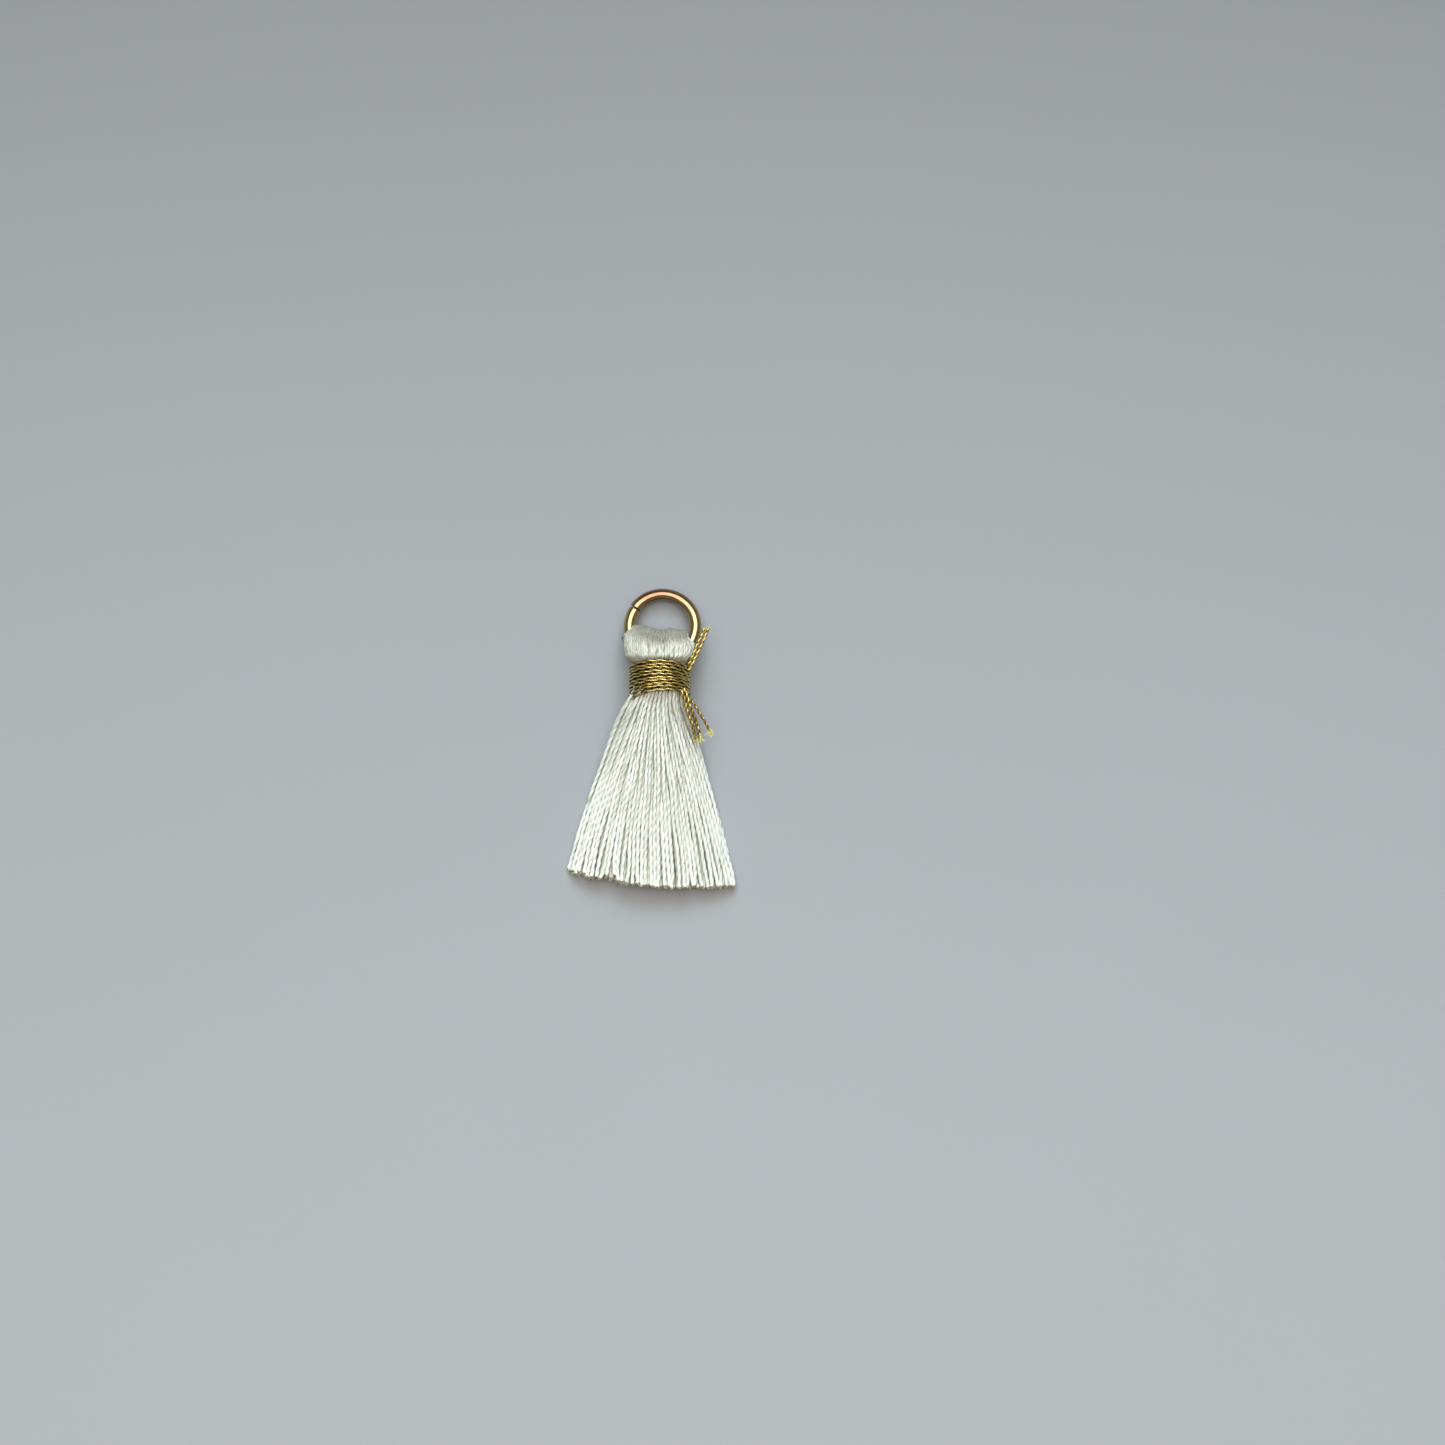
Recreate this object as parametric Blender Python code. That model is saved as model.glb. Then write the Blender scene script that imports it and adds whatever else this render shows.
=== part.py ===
"""A small tassel on a jump ring, lying on its back on a level surface.

Metres, +Z up. +Y runs from the cut ends towards the ring, +X to the right as seen from above.
The origin lies on the surface, under the middle of the whole tassel.
"""
import math

import bmesh
import bpy
from mathutils import Euler, Vector

MM = 0.001

# Clearance between neighbouring pieces
GAP = 0.3 * MM

# Jump ring: round wire bent to a circle, its crown lying lower than the side inside the threads
RING_OUTER_DIAMETER = 8.0 * MM
RING_WIRE_DIAMETER = 1.2 * MM
RING_MIDDLE = Vector((1.2 * MM, 11.36 * MM, 1.4 * MM))
RING_TILT = math.radians(-13.0)
RING_SPLIT_ANGLE = math.radians(146.5)
RING_SPLIT_WIDTH = 0.15 * MM
RING_SPLIT_OFFSET = 0.08 * MM
RING_POINTS = 48
RING_BEVEL_RESOLUTION = 3
RING_LINE_RADIUS = (RING_OUTER_DIAMETER - RING_WIRE_DIAMETER) / 2
RING_WIRE_RADIUS = RING_WIRE_DIAMETER / 2

# Binding: turns of thread round the neck, an oval band with one ridge for each turn
BAND_TOP_Y = 7.8 * MM
BAND_BOTTOM_Y = 4.7 * MM
BAND_MIDDLE_X = 0.95 * MM
BAND_HALF_WIDTH = 3.19 * MM
BAND_HALF_HEIGHT = 2.62 * MM
BAND_THICKNESS = 0.40 * MM
BAND_TURNS = 10
BAND_RIDGE = 0.11 * MM
BAND_SEGMENTS = 36
BAND_LEAN = 0.17
BAND_FLAT = 0.20 * MM
BAND_MIDDLE_Z = BAND_HALF_HEIGHT - BAND_FLAT

# Fold, neck and roots of the threads, from the fold's crest to the face that the ends grow from
# Lengths in millimetres
ROOT_COLUMNS = ("y", "half_width", "half_height", "middle_x", "middle_z")
ROOT_SECTIONS = (
    (11.40, 3.30, 0.30, 0.86, 2.20),
    (11.18, 3.42, 0.95, 0.86, 2.24),
    (10.60, 3.54, 1.62, 0.86, 2.30),
    (9.85, 3.58, 2.12, 0.86, 2.36),
    (9.05, 3.50, 2.34, 0.86, 2.39),
    (8.35, 3.18, 2.24, 0.90, 2.40),
    (7.85, 2.52, 1.90, 0.95, 2.42),
    (6.40, 2.44, 1.86, 0.95, 2.42),
    (4.90, 2.46, 1.86, 0.92, 2.42),
    (4.20, 2.74, 1.88, 0.74, 2.42),
    (3.50, 3.02, 1.80, 0.47, 2.41),
)
ROOT_POINTS_AROUND = 64
ROOT_RIDGE = 0.045 * MM
ROOT_SQUARENESS = 2.3
ROOT_END_BULGE = 0.10 * MM
# The crest falls away towards both sides and dips and rises a little along its length
CREST_CORNER_DROP = 1.25 * MM
CREST_SLOPE = 0.16 * MM
CREST_WAVE = 0.06 * MM
CREST_END_Y = 8.35 * MM

# Cut ends: layers of threads, the lowest first, that leave the neck nested and settle on the surface
LAYER_COUNTS = (37, 36, 33, 27, 17)
LAYER_PITCH = 0.42 * MM
# The outer layers leave the neck at this share of its oval's half height
OVAL_FILL = 0.85
# Lengths in millimetres. Roundness is 1 where the layers fill an oval and 0 where they lie level.
# Nesting is 1 where every other thread of a layer sits half a layer higher. Side is the thread's.
FAN_COLUMNS = (
    "y", "half_width", "half_height", "middle_x", "middle_z", "roundness", "nesting", "side",
)
FAN_SECTIONS = (
    (4.10, 2.58, 1.52, 0.70, 2.42, 1.00, 1.00, 0.15),
    (2.60, 3.28, 1.62, 0.34, 2.36, 1.00, 1.00, 0.18),
    (-0.70, 4.67, 1.62, 0.20, 1.92, 0.75, 1.00, 0.21),
    (-4.50, 5.88, 1.40, 0.10, 1.53, 0.22, 1.00, 0.25),
    (-9.00, 7.16, 0.95, -0.04, 1.10, 0.00, 0.00, 0.30),
    (-15.0, 8.52, 0.95, -0.10, 1.10, 0.00, 0.00, 0.32),
)
# The cut line across the ends: x, y, in millimetres
HEM_COLUMNS = ("x", "y")
HEM_LINE = (
    (-8.7, -13.50),
    (-8.0, -14.05),
    (-6.4, -14.35),
    (-5.0, -14.25),
    (-3.6, -14.95),
    (-1.0, -15.10),
    (1.6, -15.25),
    (5.0, -15.35),
    (8.7, -15.15),
)
HEM_UNEVENNESS = 0.12 * MM

# Free ends of the binding thread: points of each route, in millimetres
TIE_COLUMNS = ("x", "y", "z")
TIE_END_UPPER = ((4.40, 7.70, 3.30), (4.85, 8.75, 3.25), (5.33, 9.95, 3.05), (5.76, 11.20, 2.75))
TIE_END_LOWER_PAIR = ((4.05, 4.62, 4.12), (4.35, 3.10, 3.95), (4.62, 1.55, 3.45), (4.92, -0.10, 2.75))
TIE_END_LOWER_SINGLE = ((4.55, 4.30, 3.55), (5.05, 3.10, 3.40), (5.62, 1.60, 3.05), (6.08, 0.45, 2.70))
TIE_PAIR_DIAMETER = 0.42 * MM
TIE_SINGLE_DIAMETER = 0.28 * MM
TIE_STEPS = 3
TIE_BEVEL_RESOLUTION = 1

# Colour, metallic value and roughness of each finish
FINISHES = {
    "satin_thread": ((0.78, 0.77, 0.70), 0.0, 0.45),
    "gold_wire": ((0.72, 0.50, 0.26), 1.0, 0.25),
    "metallic_thread": ((0.52, 0.42, 0.15), 0.8, 0.35),
}


def clear_scene():
    """Remove whatever objects the file opened with."""
    for obj in list(bpy.data.objects):
        bpy.data.objects.remove(obj, do_unlink=True)


def new_collection(name):
    """Make a collection in the scene."""
    collection = bpy.data.collections.new(name)
    bpy.context.scene.collection.children.link(collection)
    return collection


def new_material(name):
    """Make a Principled material from its row in FINISHES."""
    colour, metallic, roughness = FINISHES[name]
    material = bpy.data.materials.new(name)
    material.use_nodes = True
    shader = material.node_tree.nodes["Principled BSDF"]
    shader.inputs["Base Color"].default_value = (*colour, 1.0)
    shader.inputs["Metallic"].default_value = metallic
    shader.inputs["Roughness"].default_value = roughness
    return material


def rows(table, columns):
    """Read a table in millimetres as dictionaries, with the numbers as written."""
    return [dict(zip(columns, row)) for row in table]


def between(table, key, value, wanted):
    """Read a column of a table at a place between two of its rows."""
    for low, high in zip(table, table[1:]):
        if value <= high[key]:
            break
    share = (value - low[key]) / (high[key] - low[key])
    share = min(1.0, max(0.0, share))
    return low[wanted] + share * (high[wanted] - low[wanted])


def add_mesh(name, mesh, collection, material):
    """Put a mesh in the scene as a named object."""
    mesh.materials.clear()
    mesh.materials.append(material)
    obj = bpy.data.objects.new(name, mesh)
    collection.objects.link(obj)
    return obj


def poly_curve(name, splines, bevel_depth, bevel_resolution, twist_mode="MINIMUM"):
    """Make a bevelled curve of straight splines, each a list of (point, radius, tilt)."""
    curve = bpy.data.curves.new(name, "CURVE")
    curve.dimensions = "3D"
    curve.twist_mode = twist_mode
    curve.bevel_depth = bevel_depth
    curve.bevel_resolution = bevel_resolution
    curve.use_fill_caps = True
    for points in splines:
        spline = curve.splines.new("POLY")
        spline.points.add(len(points) - 1)
        for target, (place, radius, tilt) in zip(spline.points, points):
            target.co = (*place, 1.0)
            target.radius = radius
            target.tilt = tilt
    return curve


def curve_to_mesh(curve):
    """Turn a curve into a closed mesh, with its caps joined to its walls."""
    obj = bpy.data.objects.new(curve.name, curve)
    bpy.context.scene.collection.objects.link(obj)
    graph = bpy.context.evaluated_depsgraph_get()
    mesh = bpy.data.meshes.new_from_object(obj.evaluated_get(graph))
    bpy.data.objects.remove(obj, do_unlink=True)
    bpy.data.curves.remove(curve)
    shape = bmesh.new()
    shape.from_mesh(mesh)
    bmesh.ops.remove_doubles(shape, verts=shape.verts, dist=0.001 * MM)
    bmesh.ops.recalc_face_normals(shape, faces=shape.faces)
    shape.to_mesh(mesh)
    shape.free()
    return mesh


def power_sign(value, power):
    """Raise a number's size to a power and keep its sign."""
    return math.copysign(abs(value) ** power, value)


def crest_shift(across, y):
    """How far the fold's crest stands above its row at a place across it, from -1 to 1.

    The shift is whole at the crest and fades out at the widest part of the head.
    """
    crest_y = ROOT_SECTIONS[0][0] * MM
    weight = max(0.0, (y - CREST_END_Y) / (crest_y - CREST_END_Y))
    drop = CREST_CORNER_DROP * abs(across) ** 5
    slope = CREST_SLOPE * across
    wave = CREST_WAVE * math.sin(7.0 * across + 0.8)
    return weight * (wave - slope - drop)


def root_ring(section):
    """One closed section of the fold, neck or roots: a squared oval with a ridge for each thread."""
    ring = []
    for index in range(ROOT_POINTS_AROUND):
        angle = math.tau * (index + 0.5) / ROOT_POINTS_AROUND
        across = power_sign(math.cos(angle), 2 / ROOT_SQUARENESS)
        upward = power_sign(math.sin(angle), 2 / ROOT_SQUARENESS)
        ridge = ROOT_RIDGE * (1 if index % 4 in (1, 2) else -1)
        # Ridges fade towards the crest, whose front and back points meet across a narrow strip
        ridge *= min(1.0, section["half_height"])
        x = section["middle_x"] * MM + across * (section["half_width"] * MM + ridge)
        z = section["middle_z"] * MM + upward * (section["half_height"] * MM + ridge)
        y = section["y"] * MM + crest_shift(across, section["y"] * MM)
        ring.append(Vector((x, y, z)))
    return ring


def root_solid(collection, material):
    """Loft the sections of the fold, neck and roots into one closed solid."""
    shape = bmesh.new()
    rings = [
        [shape.verts.new(point) for point in root_ring(section)]
        for section in rows(ROOT_SECTIONS, ROOT_COLUMNS)
    ]
    count = ROOT_POINTS_AROUND
    for upper, lower in zip(rings, rings[1:]):
        for index in range(count):
            after = (index + 1) % count
            shape.faces.new((upper[index], upper[after], lower[after], lower[index]))
    # The crest is closed by a strip from its front points to its back points
    crest = rings[0]
    for index in range(count // 2 - 1):
        opposite = count - 1 - index
        shape.faces.new((crest[index], crest[opposite], crest[opposite - 1], crest[index + 1]))
    # The lower end is a low cone, which the cut ends grow out of
    last = rows(ROOT_SECTIONS, ROOT_COLUMNS)[-1]
    tip = shape.verts.new(
        (last["middle_x"] * MM, last["y"] * MM - ROOT_END_BULGE, last["middle_z"] * MM)
    )
    for index in range(count):
        shape.faces.new((rings[-1][index], rings[-1][(index + 1) % count], tip))
    bmesh.ops.recalc_face_normals(shape, faces=shape.faces)
    bmesh.ops.triangulate(shape, faces=shape.faces)
    mesh = bpy.data.meshes.new("thread_bundle")
    shape.to_mesh(mesh)
    shape.free()
    return add_mesh("thread_bundle", mesh, collection, material)


def fan_place(section, layer, column):
    """Where a thread's middle passes one section of the fan.

    Near the neck each layer is drawn in to the width of an oval, and every other thread of a layer
    sits half a layer higher. On the surface the layers lie level and at their full width.
    """
    count = LAYER_COUNTS[layer]
    across = 2.0 * column / (count - 1) - 1.0
    levels = 2 * len(LAYER_COUNTS) - 1
    up = 2.0 * (2 * layer + column % 2) / levels - 1.0
    outer_up = max(abs(2.0 * (2 * layer + nest) / levels - 1.0) for nest in (0, 1))
    side = section["side"] * MM
    half_height = section["half_height"] * MM
    roundness = section["roundness"]
    nesting = section["nesting"]

    chord = (1.0 - (OVAL_FILL * outer_up) ** ROOT_SQUARENESS) ** (1.0 / ROOT_SQUARENESS)
    spread = (count - 1) / (LAYER_COUNTS[0] - 1)
    width = roundness * chord + (1.0 - roundness) * spread
    x = section["middle_x"] * MM + section["half_width"] * MM * width * across

    round_z = section["middle_z"] * MM + half_height * up
    nested_z = side / 2 + half_height * (up + 1.0)
    settled_z = side / 2 + LAYER_PITCH * layer
    level_z = nesting * nested_z + (1.0 - nesting) * settled_z
    z = roundness * round_z + (1.0 - roundness) * level_z
    return x, z


def hem_y(x, layer, column):
    """The height of the cut line under a thread, a little different for each thread."""
    line = rows(HEM_LINE, HEM_COLUMNS)
    level = between(line, "x", x / MM, "y") * MM
    return level + HEM_UNEVENNESS * math.sin(2.4 * column + 1.9 * layer)


def cut_ends_mesh():
    """All cut ends as four-sided threads, each with a flat side down, growing thicker as they open."""
    sections = rows(FAN_SECTIONS, FAN_COLUMNS)
    quarter_turn = math.radians(45.0)
    splines = []
    for layer, count in enumerate(LAYER_COUNTS):
        for column in range(count):
            points = []
            for section in sections:
                x, z = fan_place(section, layer, column)
                y = section["y"] * MM
                if section is sections[-1]:
                    y = hem_y(x, layer, column)
                half_diagonal = section["side"] * MM / math.sqrt(2.0)
                points.append(((x, y, z), half_diagonal / MM, quarter_turn))
            splines.append(points)
    return curve_to_mesh(poly_curve("cut_ends", splines, MM, 0, "Z_UP"))


def ring_point(angle, inward=0.0):
    """A point on the wire's middle line, in the ring's own plane, then laid at the ring's tilt."""
    radius = RING_LINE_RADIUS - inward
    flat = Vector((radius * math.cos(angle), radius * math.sin(angle), 0.0))
    flat.rotate(Euler((RING_TILT, 0.0, 0.0)))
    return RING_MIDDLE + flat


def add_jump_ring(collection, material):
    """Bend the wire round from one side of its split to the other."""
    half_split = RING_SPLIT_WIDTH / 2 / RING_LINE_RADIUS
    sweep = math.tau - 2 * half_split
    points = []
    for index in range(RING_POINTS + 1):
        share = index / RING_POINTS
        angle = RING_SPLIT_ANGLE + half_split + sweep * share
        # The end below the split stands a little inside the other
        inward = RING_SPLIT_OFFSET * max(0.0, 1.0 - 6.0 * share)
        points.append((ring_point(angle, inward), 1.0, 0.0))
    curve = poly_curve("jump_ring", [points], RING_WIRE_RADIUS, RING_BEVEL_RESOLUTION, "Z_UP")
    obj = add_mesh("jump_ring", curve_to_mesh(curve), collection, material)
    obj.data.shade_smooth()
    return obj


def add_ring_tunnel(collection):
    """The way that the wire takes through the threads, wider than the wire by the clearance."""
    bpy.ops.mesh.primitive_torus_add(
        location=RING_MIDDLE,
        rotation=(RING_TILT, 0.0, 0.0),
        major_radius=RING_LINE_RADIUS,
        minor_radius=RING_WIRE_RADIUS + GAP,
        major_segments=40,
        minor_segments=12,
    )
    cutter = bpy.context.object
    cutter.name = "ring_tunnel"
    for other in list(cutter.users_collection):
        other.objects.unlink(cutter)
    collection.objects.link(cutter)
    hide_helper(cutter)
    return cutter


def hide_helper(obj):
    """Keep a helper out of the finished tassel."""
    obj.hide_render = True
    obj.display_type = "WIRE"


def add_boolean(obj, other, operation):
    """Join a helper to an object, or cut it away."""
    modifier = obj.modifiers.new(other.name, "BOOLEAN")
    modifier.operation = operation
    modifier.solver = "EXACT"
    modifier.object = other


def add_thread_bundle(parts, helpers, material):
    """The fold, neck and cut ends as one solid, with the ring's way through the fold."""
    bundle = root_solid(parts, material)
    ends = add_mesh("cut_ends", cut_ends_mesh(), helpers, material)
    hide_helper(ends)
    add_boolean(bundle, ends, "UNION")
    add_boolean(bundle, add_ring_tunnel(helpers), "DIFFERENCE")
    return bundle


def band_profile():
    """The band's section: a straight inner wall and one ridge for each turn on the outer wall.

    Given as (distance outwards from the outer wall's valleys, height) from the top down.
    """
    pitch = (BAND_TOP_Y - BAND_BOTTOM_Y) / BAND_TURNS
    outer = []
    for turn in range(BAND_TURNS):
        top = BAND_TOP_Y - pitch * turn
        outer.append((-BAND_RIDGE, top))
        outer.append((0.0, top - pitch / 2))
    outer.append((-BAND_RIDGE, BAND_BOTTOM_Y))
    inner = [(-BAND_THICKNESS, BAND_BOTTOM_Y), (-BAND_THICKNESS, BAND_TOP_Y)]
    return outer + inner


def add_neck_binding(collection, material):
    """Carry the band's section round the oval neck, lean it and give it a flat to lie on."""
    shape = bmesh.new()
    profile = band_profile()
    loops = []
    for index in range(BAND_SEGMENTS):
        angle = math.tau * (index + 0.5) / BAND_SEGMENTS
        loop = []
        for outward, y in profile:
            x = BAND_MIDDLE_X + (BAND_HALF_WIDTH + outward) * math.cos(angle)
            rise = (BAND_HALF_HEIGHT + outward) * math.sin(angle)
            z = max(0.0, BAND_MIDDLE_Z + rise)
            loop.append(shape.verts.new((x, y + BAND_LEAN * rise, z)))
        loops.append(loop)
    for index, loop in enumerate(loops):
        following = loops[(index + 1) % BAND_SEGMENTS]
        for place in range(len(profile)):
            after = (place + 1) % len(profile)
            shape.faces.new((loop[place], loop[after], following[after], following[place]))
    bmesh.ops.recalc_face_normals(shape, faces=shape.faces)
    mesh = bpy.data.meshes.new("neck_binding")
    shape.to_mesh(mesh)
    shape.free()
    return add_mesh("neck_binding", mesh, collection, material)


def smooth_route(places):
    """Points along a smooth curve through the given places, TIE_STEPS to each stretch.

    Each stretch is a Catmull-Rom piece, with the first and last places doubled.
    """
    padded = [places[0], *places, places[-1]]
    route = []
    for before, start, end, after in zip(padded, padded[1:], padded[2:], padded[3:]):
        for step in range(TIE_STEPS):
            t = step / TIE_STEPS
            point = 2 * start + (end - before) * t
            point += (2 * before - 5 * start + 4 * end - after) * t ** 2
            point += (3 * start - before - 3 * end + after) * t ** 3
            route.append(point / 2)
    route.append(places[-1])
    return route


def add_tie_end(name, table, diameter, collection, material):
    """One free end of the binding thread, or two that lie side by side."""
    places = [Vector((row["x"], row["y"], row["z"])) * MM for row in rows(table, TIE_COLUMNS)]
    points = [(place, 1.0, 0.0) for place in smooth_route(places)]
    curve = poly_curve(name, [points], diameter / 2, TIE_BEVEL_RESOLUTION)
    obj = add_mesh(name, curve_to_mesh(curve), collection, material)
    obj.data.shade_smooth()
    return obj


def main():
    clear_scene()
    parts = new_collection("tassel")
    helpers = new_collection("helpers")
    satin = new_material("satin_thread")
    gold = new_material("gold_wire")
    metallic = new_material("metallic_thread")
    add_thread_bundle(parts, helpers, satin)
    add_jump_ring(parts, gold)
    add_neck_binding(parts, metallic)
    add_tie_end("tie_end_upper", TIE_END_UPPER, TIE_PAIR_DIAMETER, parts, metallic)
    add_tie_end("tie_end_lower_pair", TIE_END_LOWER_PAIR, TIE_PAIR_DIAMETER, parts, metallic)
    add_tie_end("tie_end_lower_single", TIE_END_LOWER_SINGLE, TIE_SINGLE_DIAMETER, parts, metallic)


main()
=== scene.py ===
"""A small satin tassel on a jump ring: its threads, binding, ring, materials and studio."""

import math

import bpy
import numpy as np
from bpy.props import FloatProperty, FloatVectorProperty, IntProperty, PointerProperty
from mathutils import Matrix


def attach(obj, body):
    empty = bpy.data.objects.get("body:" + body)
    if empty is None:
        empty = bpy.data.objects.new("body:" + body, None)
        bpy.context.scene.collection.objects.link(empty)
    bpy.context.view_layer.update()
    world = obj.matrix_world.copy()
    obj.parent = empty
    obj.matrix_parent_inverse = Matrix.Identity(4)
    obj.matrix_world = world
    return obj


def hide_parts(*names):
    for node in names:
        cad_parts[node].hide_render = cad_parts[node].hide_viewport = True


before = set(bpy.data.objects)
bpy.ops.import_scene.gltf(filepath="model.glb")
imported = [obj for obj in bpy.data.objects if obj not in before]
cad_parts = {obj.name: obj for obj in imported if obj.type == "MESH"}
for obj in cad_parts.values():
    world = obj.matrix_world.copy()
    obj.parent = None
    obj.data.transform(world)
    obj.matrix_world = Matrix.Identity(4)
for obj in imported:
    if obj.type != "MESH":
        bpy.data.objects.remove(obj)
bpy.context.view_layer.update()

bl_info = {
    "name": "Tassel with a jump ring",
    "version": (1, 0, 0),
    "blender": (4, 5, 0),
    "location": "View3D > Sidebar > Tassel",
    "description": "Builds a small satin tassel on a jump ring, with its materials and a plain studio",
    "category": "Add Mesh",
}

# All lengths below are in millimetres, in the frame of the CAD model

MM = 0.001
SEED = 4296
UV_TUBE_STEP = 40.0

# Hanging ends, by distance below the binding: half width, middle x, half height, middle z, spread

BINDING_FOOT_Y = 4.7
LAYER_COUNTS = (37, 36, 33, 28, 17)
FAN_DROPS = (-1.0, 0.0, 1.3, 3.0, 5.4, 9.2, 13.7, 20.6)
FAN_ROWS = (
    (2.62, 0.93, 2.05, 2.42, 0.00),
    (2.66, 0.80, 2.02, 2.42, 0.00),
    (3.05, 0.36, 1.87, 2.30, 0.05),
    (3.90, 0.28, 1.80, 2.12, 0.18),
    (4.78, 0.20, 1.68, 1.90, 0.40),
    (6.01, 0.10, 1.40, 1.58, 0.72),
    (7.31, -0.04, 1.00, 1.19, 0.95),
    (9.20, -0.12, 0.82, 1.01, 1.00),
)
FAN_JITTER = 0.36
PARTINGS = (-0.61, -0.34, -0.16, 0.12, 0.31, 0.66)
PARTING_WIDTH = 0.012
LAYER_EDGE = 0.07
ROUTE_STATIONS = 116
ROUTE_ROUNDS = 60
NECK_HALF_WIDTH = 2.62
NECK_HALF_HEIGHT = 2.05
NECK_SQUARENESS = 2.3
NECK_PITCH = 0.37
NEIGHBOUR_NEAR = 0.45
NEIGHBOUR_FAR = 0.8
HEM_X = (-8.7, -8.13, -7.6, -6.57, -5.86, -5.2, -4.66, -3.9, -3.43, -2.92, -2.3, -0.64, 0.4, 2.04,
         4.78, 5.5, 7.1, 8.7)
HEM_UPPER_Y = (-13.57, -14.05, -13.6, -14.4, -14.15, -14.42, -14.06, -14.12, -14.8, -14.84, -14.95,
               -15.1, -15.18, -15.32, -15.26, -15.42, -15.3, -15.2)
HEM_LOWER_Y = (-13.57, -14.08, -14.2, -14.42, -14.3, -14.5, -14.5, -14.6, -14.9, -14.95, -15.05,
               -15.2, -15.3, -15.42, -15.38, -15.48, -15.4, -15.25)
HEM_JITTER = 0.09
LOOSE_LENGTH = 2.0
STRAY_ASIDE = 0.11
STRAY_UP = 0.08
THICKER_BELOW = 0.13
THICKER_AT_TIP = 0.06
TUFT_FIBRES = 9
TUFT_STATIONS = 6

# Pieces of the hanging ends: name, layers, stations along a thread, points round it

LAYER_PARTS = (
    ("cut_ends_top", (0,), 170, 12),
    ("cut_ends_second", (1,), 150, 12),
    ("cut_ends_third", (2,), 110, 8),
    ("cut_ends_inner", (3, 4), 80, 6),
)

# Fold over the ring: outline left and right by y, and the drop of its crest from left to right

HEAD_Y = (6.6, 7.75, 8.25, 8.75, 9.45, 9.95, 10.75, 11.25, 11.4)
HEAD_SIDES = ((-1.5, 3.55), (-1.85, 3.7), (-2.48, 4.32), (-2.65, 4.47), (-2.72, 4.52), (-2.7, 4.34),
              (-2.4, 4.02), (-1.95, 3.88), (-1.85, 3.82))
CREST_U = (-1.0, -0.72, -0.43, 0.0, 0.21, 0.33, 0.62, 1.0)
CREST_SHIFT = (-0.12, -0.12, -0.28, -0.6, -0.55, -0.4, -0.52, -0.76)
HEAD_WIDEST_Y = 8.4
HEAD_CREST_LENGTH = 3.0
HEAD_HALF_HEIGHT = 2.3
HEAD_NECK_HEIGHT = 1.9
HEAD_MIDDLE_Z = 2.42
HEAD_FOOT_Y = 6.6
HEAD_SQUARENESS = 2.6
HEAD_LAYER_STEP = 0.33
CREST_PART = 0.7
LOOP_REACH = 86
LOOP_JITTER = 0.6
LOOP_SUNK = 0.06
FOLD_TURN = 0.8
FOLD_PINCH = 1.6

# Pieces of the fold: name, layers as number of loops and depth, stations along a loop, points round it

FOLD_PARTS = (
    ("fold_outer", ((38, 0),), 150, 10),
    ("fold_inner", ((20, 1), (16, 2), (11, 3)), 70, 6),
)

# Ring

RING_MIDDLE = np.array((1.2, 11.36, 1.4))
RING_TILT = math.radians(-13.0)
RING_TURN = np.array(((1, 0, 0), (0, math.cos(RING_TILT), -math.sin(RING_TILT)),
                      (0, math.sin(RING_TILT), math.cos(RING_TILT))))
RING_SPLIT_ANGLE = math.radians(146.5)
RING_SPLIT_WIDTH = 0.15
RING_SPLIT_OFFSET = 0.08
RING_EDGE = 0.07
RING_STATIONS = 320
RING_END_STEPS = 6
RING_SIDES = 32

# Binding and its free ends

BAND_MIDDLE_X = 0.95
BAND_MIDDLE_Z = 2.42
BAND_HALF_WIDTH = 3.19
BAND_HALF_HEIGHT = 2.62
BAND_TOP_Y = 7.8
BAND_LEAN = 0.17
BAND_UPPER_BOW = (-0.13, -0.165, -0.345)
BAND_LOWER_BOW = (-0.26, 0.19, -0.19)
BAND_DIP_ANGLE = math.radians(150.0)
BAND_DIP_WIDTH = 0.35
BAND_DIP_DEPTH = 0.3
BAND_DIP_TURNS = 3.5
BAND_START = -0.35 * math.pi
FOIL_PINCH = 0.45
TIE_STATIONS = 90
TIE_PINCH = 0.35
TIE_TURN = 0.6

# Free ends: piece, node, route, places across, radius, spread at the tip, fibres, length of the fibres

TIES = (
    ("tie_upper", "tie_end_upper",
     ((3.72, 6.9, 3.15), (3.98, 7.29, 3.3), (4.55, 8.4, 3.28), (5.12, 9.7, 3.1),
      (5.47, 10.45, 2.95), (5.75, 11.13, 2.75)),
     (-0.17, 0.17), 0.175, 0.2, 14, 0.35),
    ("tie_lower_pair", "tie_end_lower_pair",
     ((3.3, 4.95, 4.15), (3.52, 4.43, 4.15), (3.88, 3.1, 3.95), (4.44, 1.5, 3.4),
      (4.86, -0.15, 2.75)),
     (-0.2, 0.2), 0.21, 0.25, 40, 0.75),
    ("tie_lower_single", "tie_end_lower_single",
     ((3.3, 4.85, 3.95), (3.56, 4.57, 3.95), (4.63, 3.1, 3.5), (5.62, 1.5, 3.05),
      (6.08, 0.58, 2.72)),
     (0.0,), 0.165, 0.0, 45, 0.6),
)

# Materials: how strongly each feature shows, the valleys, streaks and steep stretches being painted
# shade, and where a painted reflection turns the ring's crown redder, in metres

SATIN_VALLEY_POWER = 1.6
SATIN_VALLEY_SHARE = 0.72
SATIN_TIP_SHARE = 0.7
SATIN_STEEP_SHARE = 0.85
SATIN_STREAK_SHARE = 0.32
FOIL_VALLEY_POWER = 1.25
GOLD_PAINTED_REFLECTION_Y = (0.0115, 0.0148)

# Studio

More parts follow.
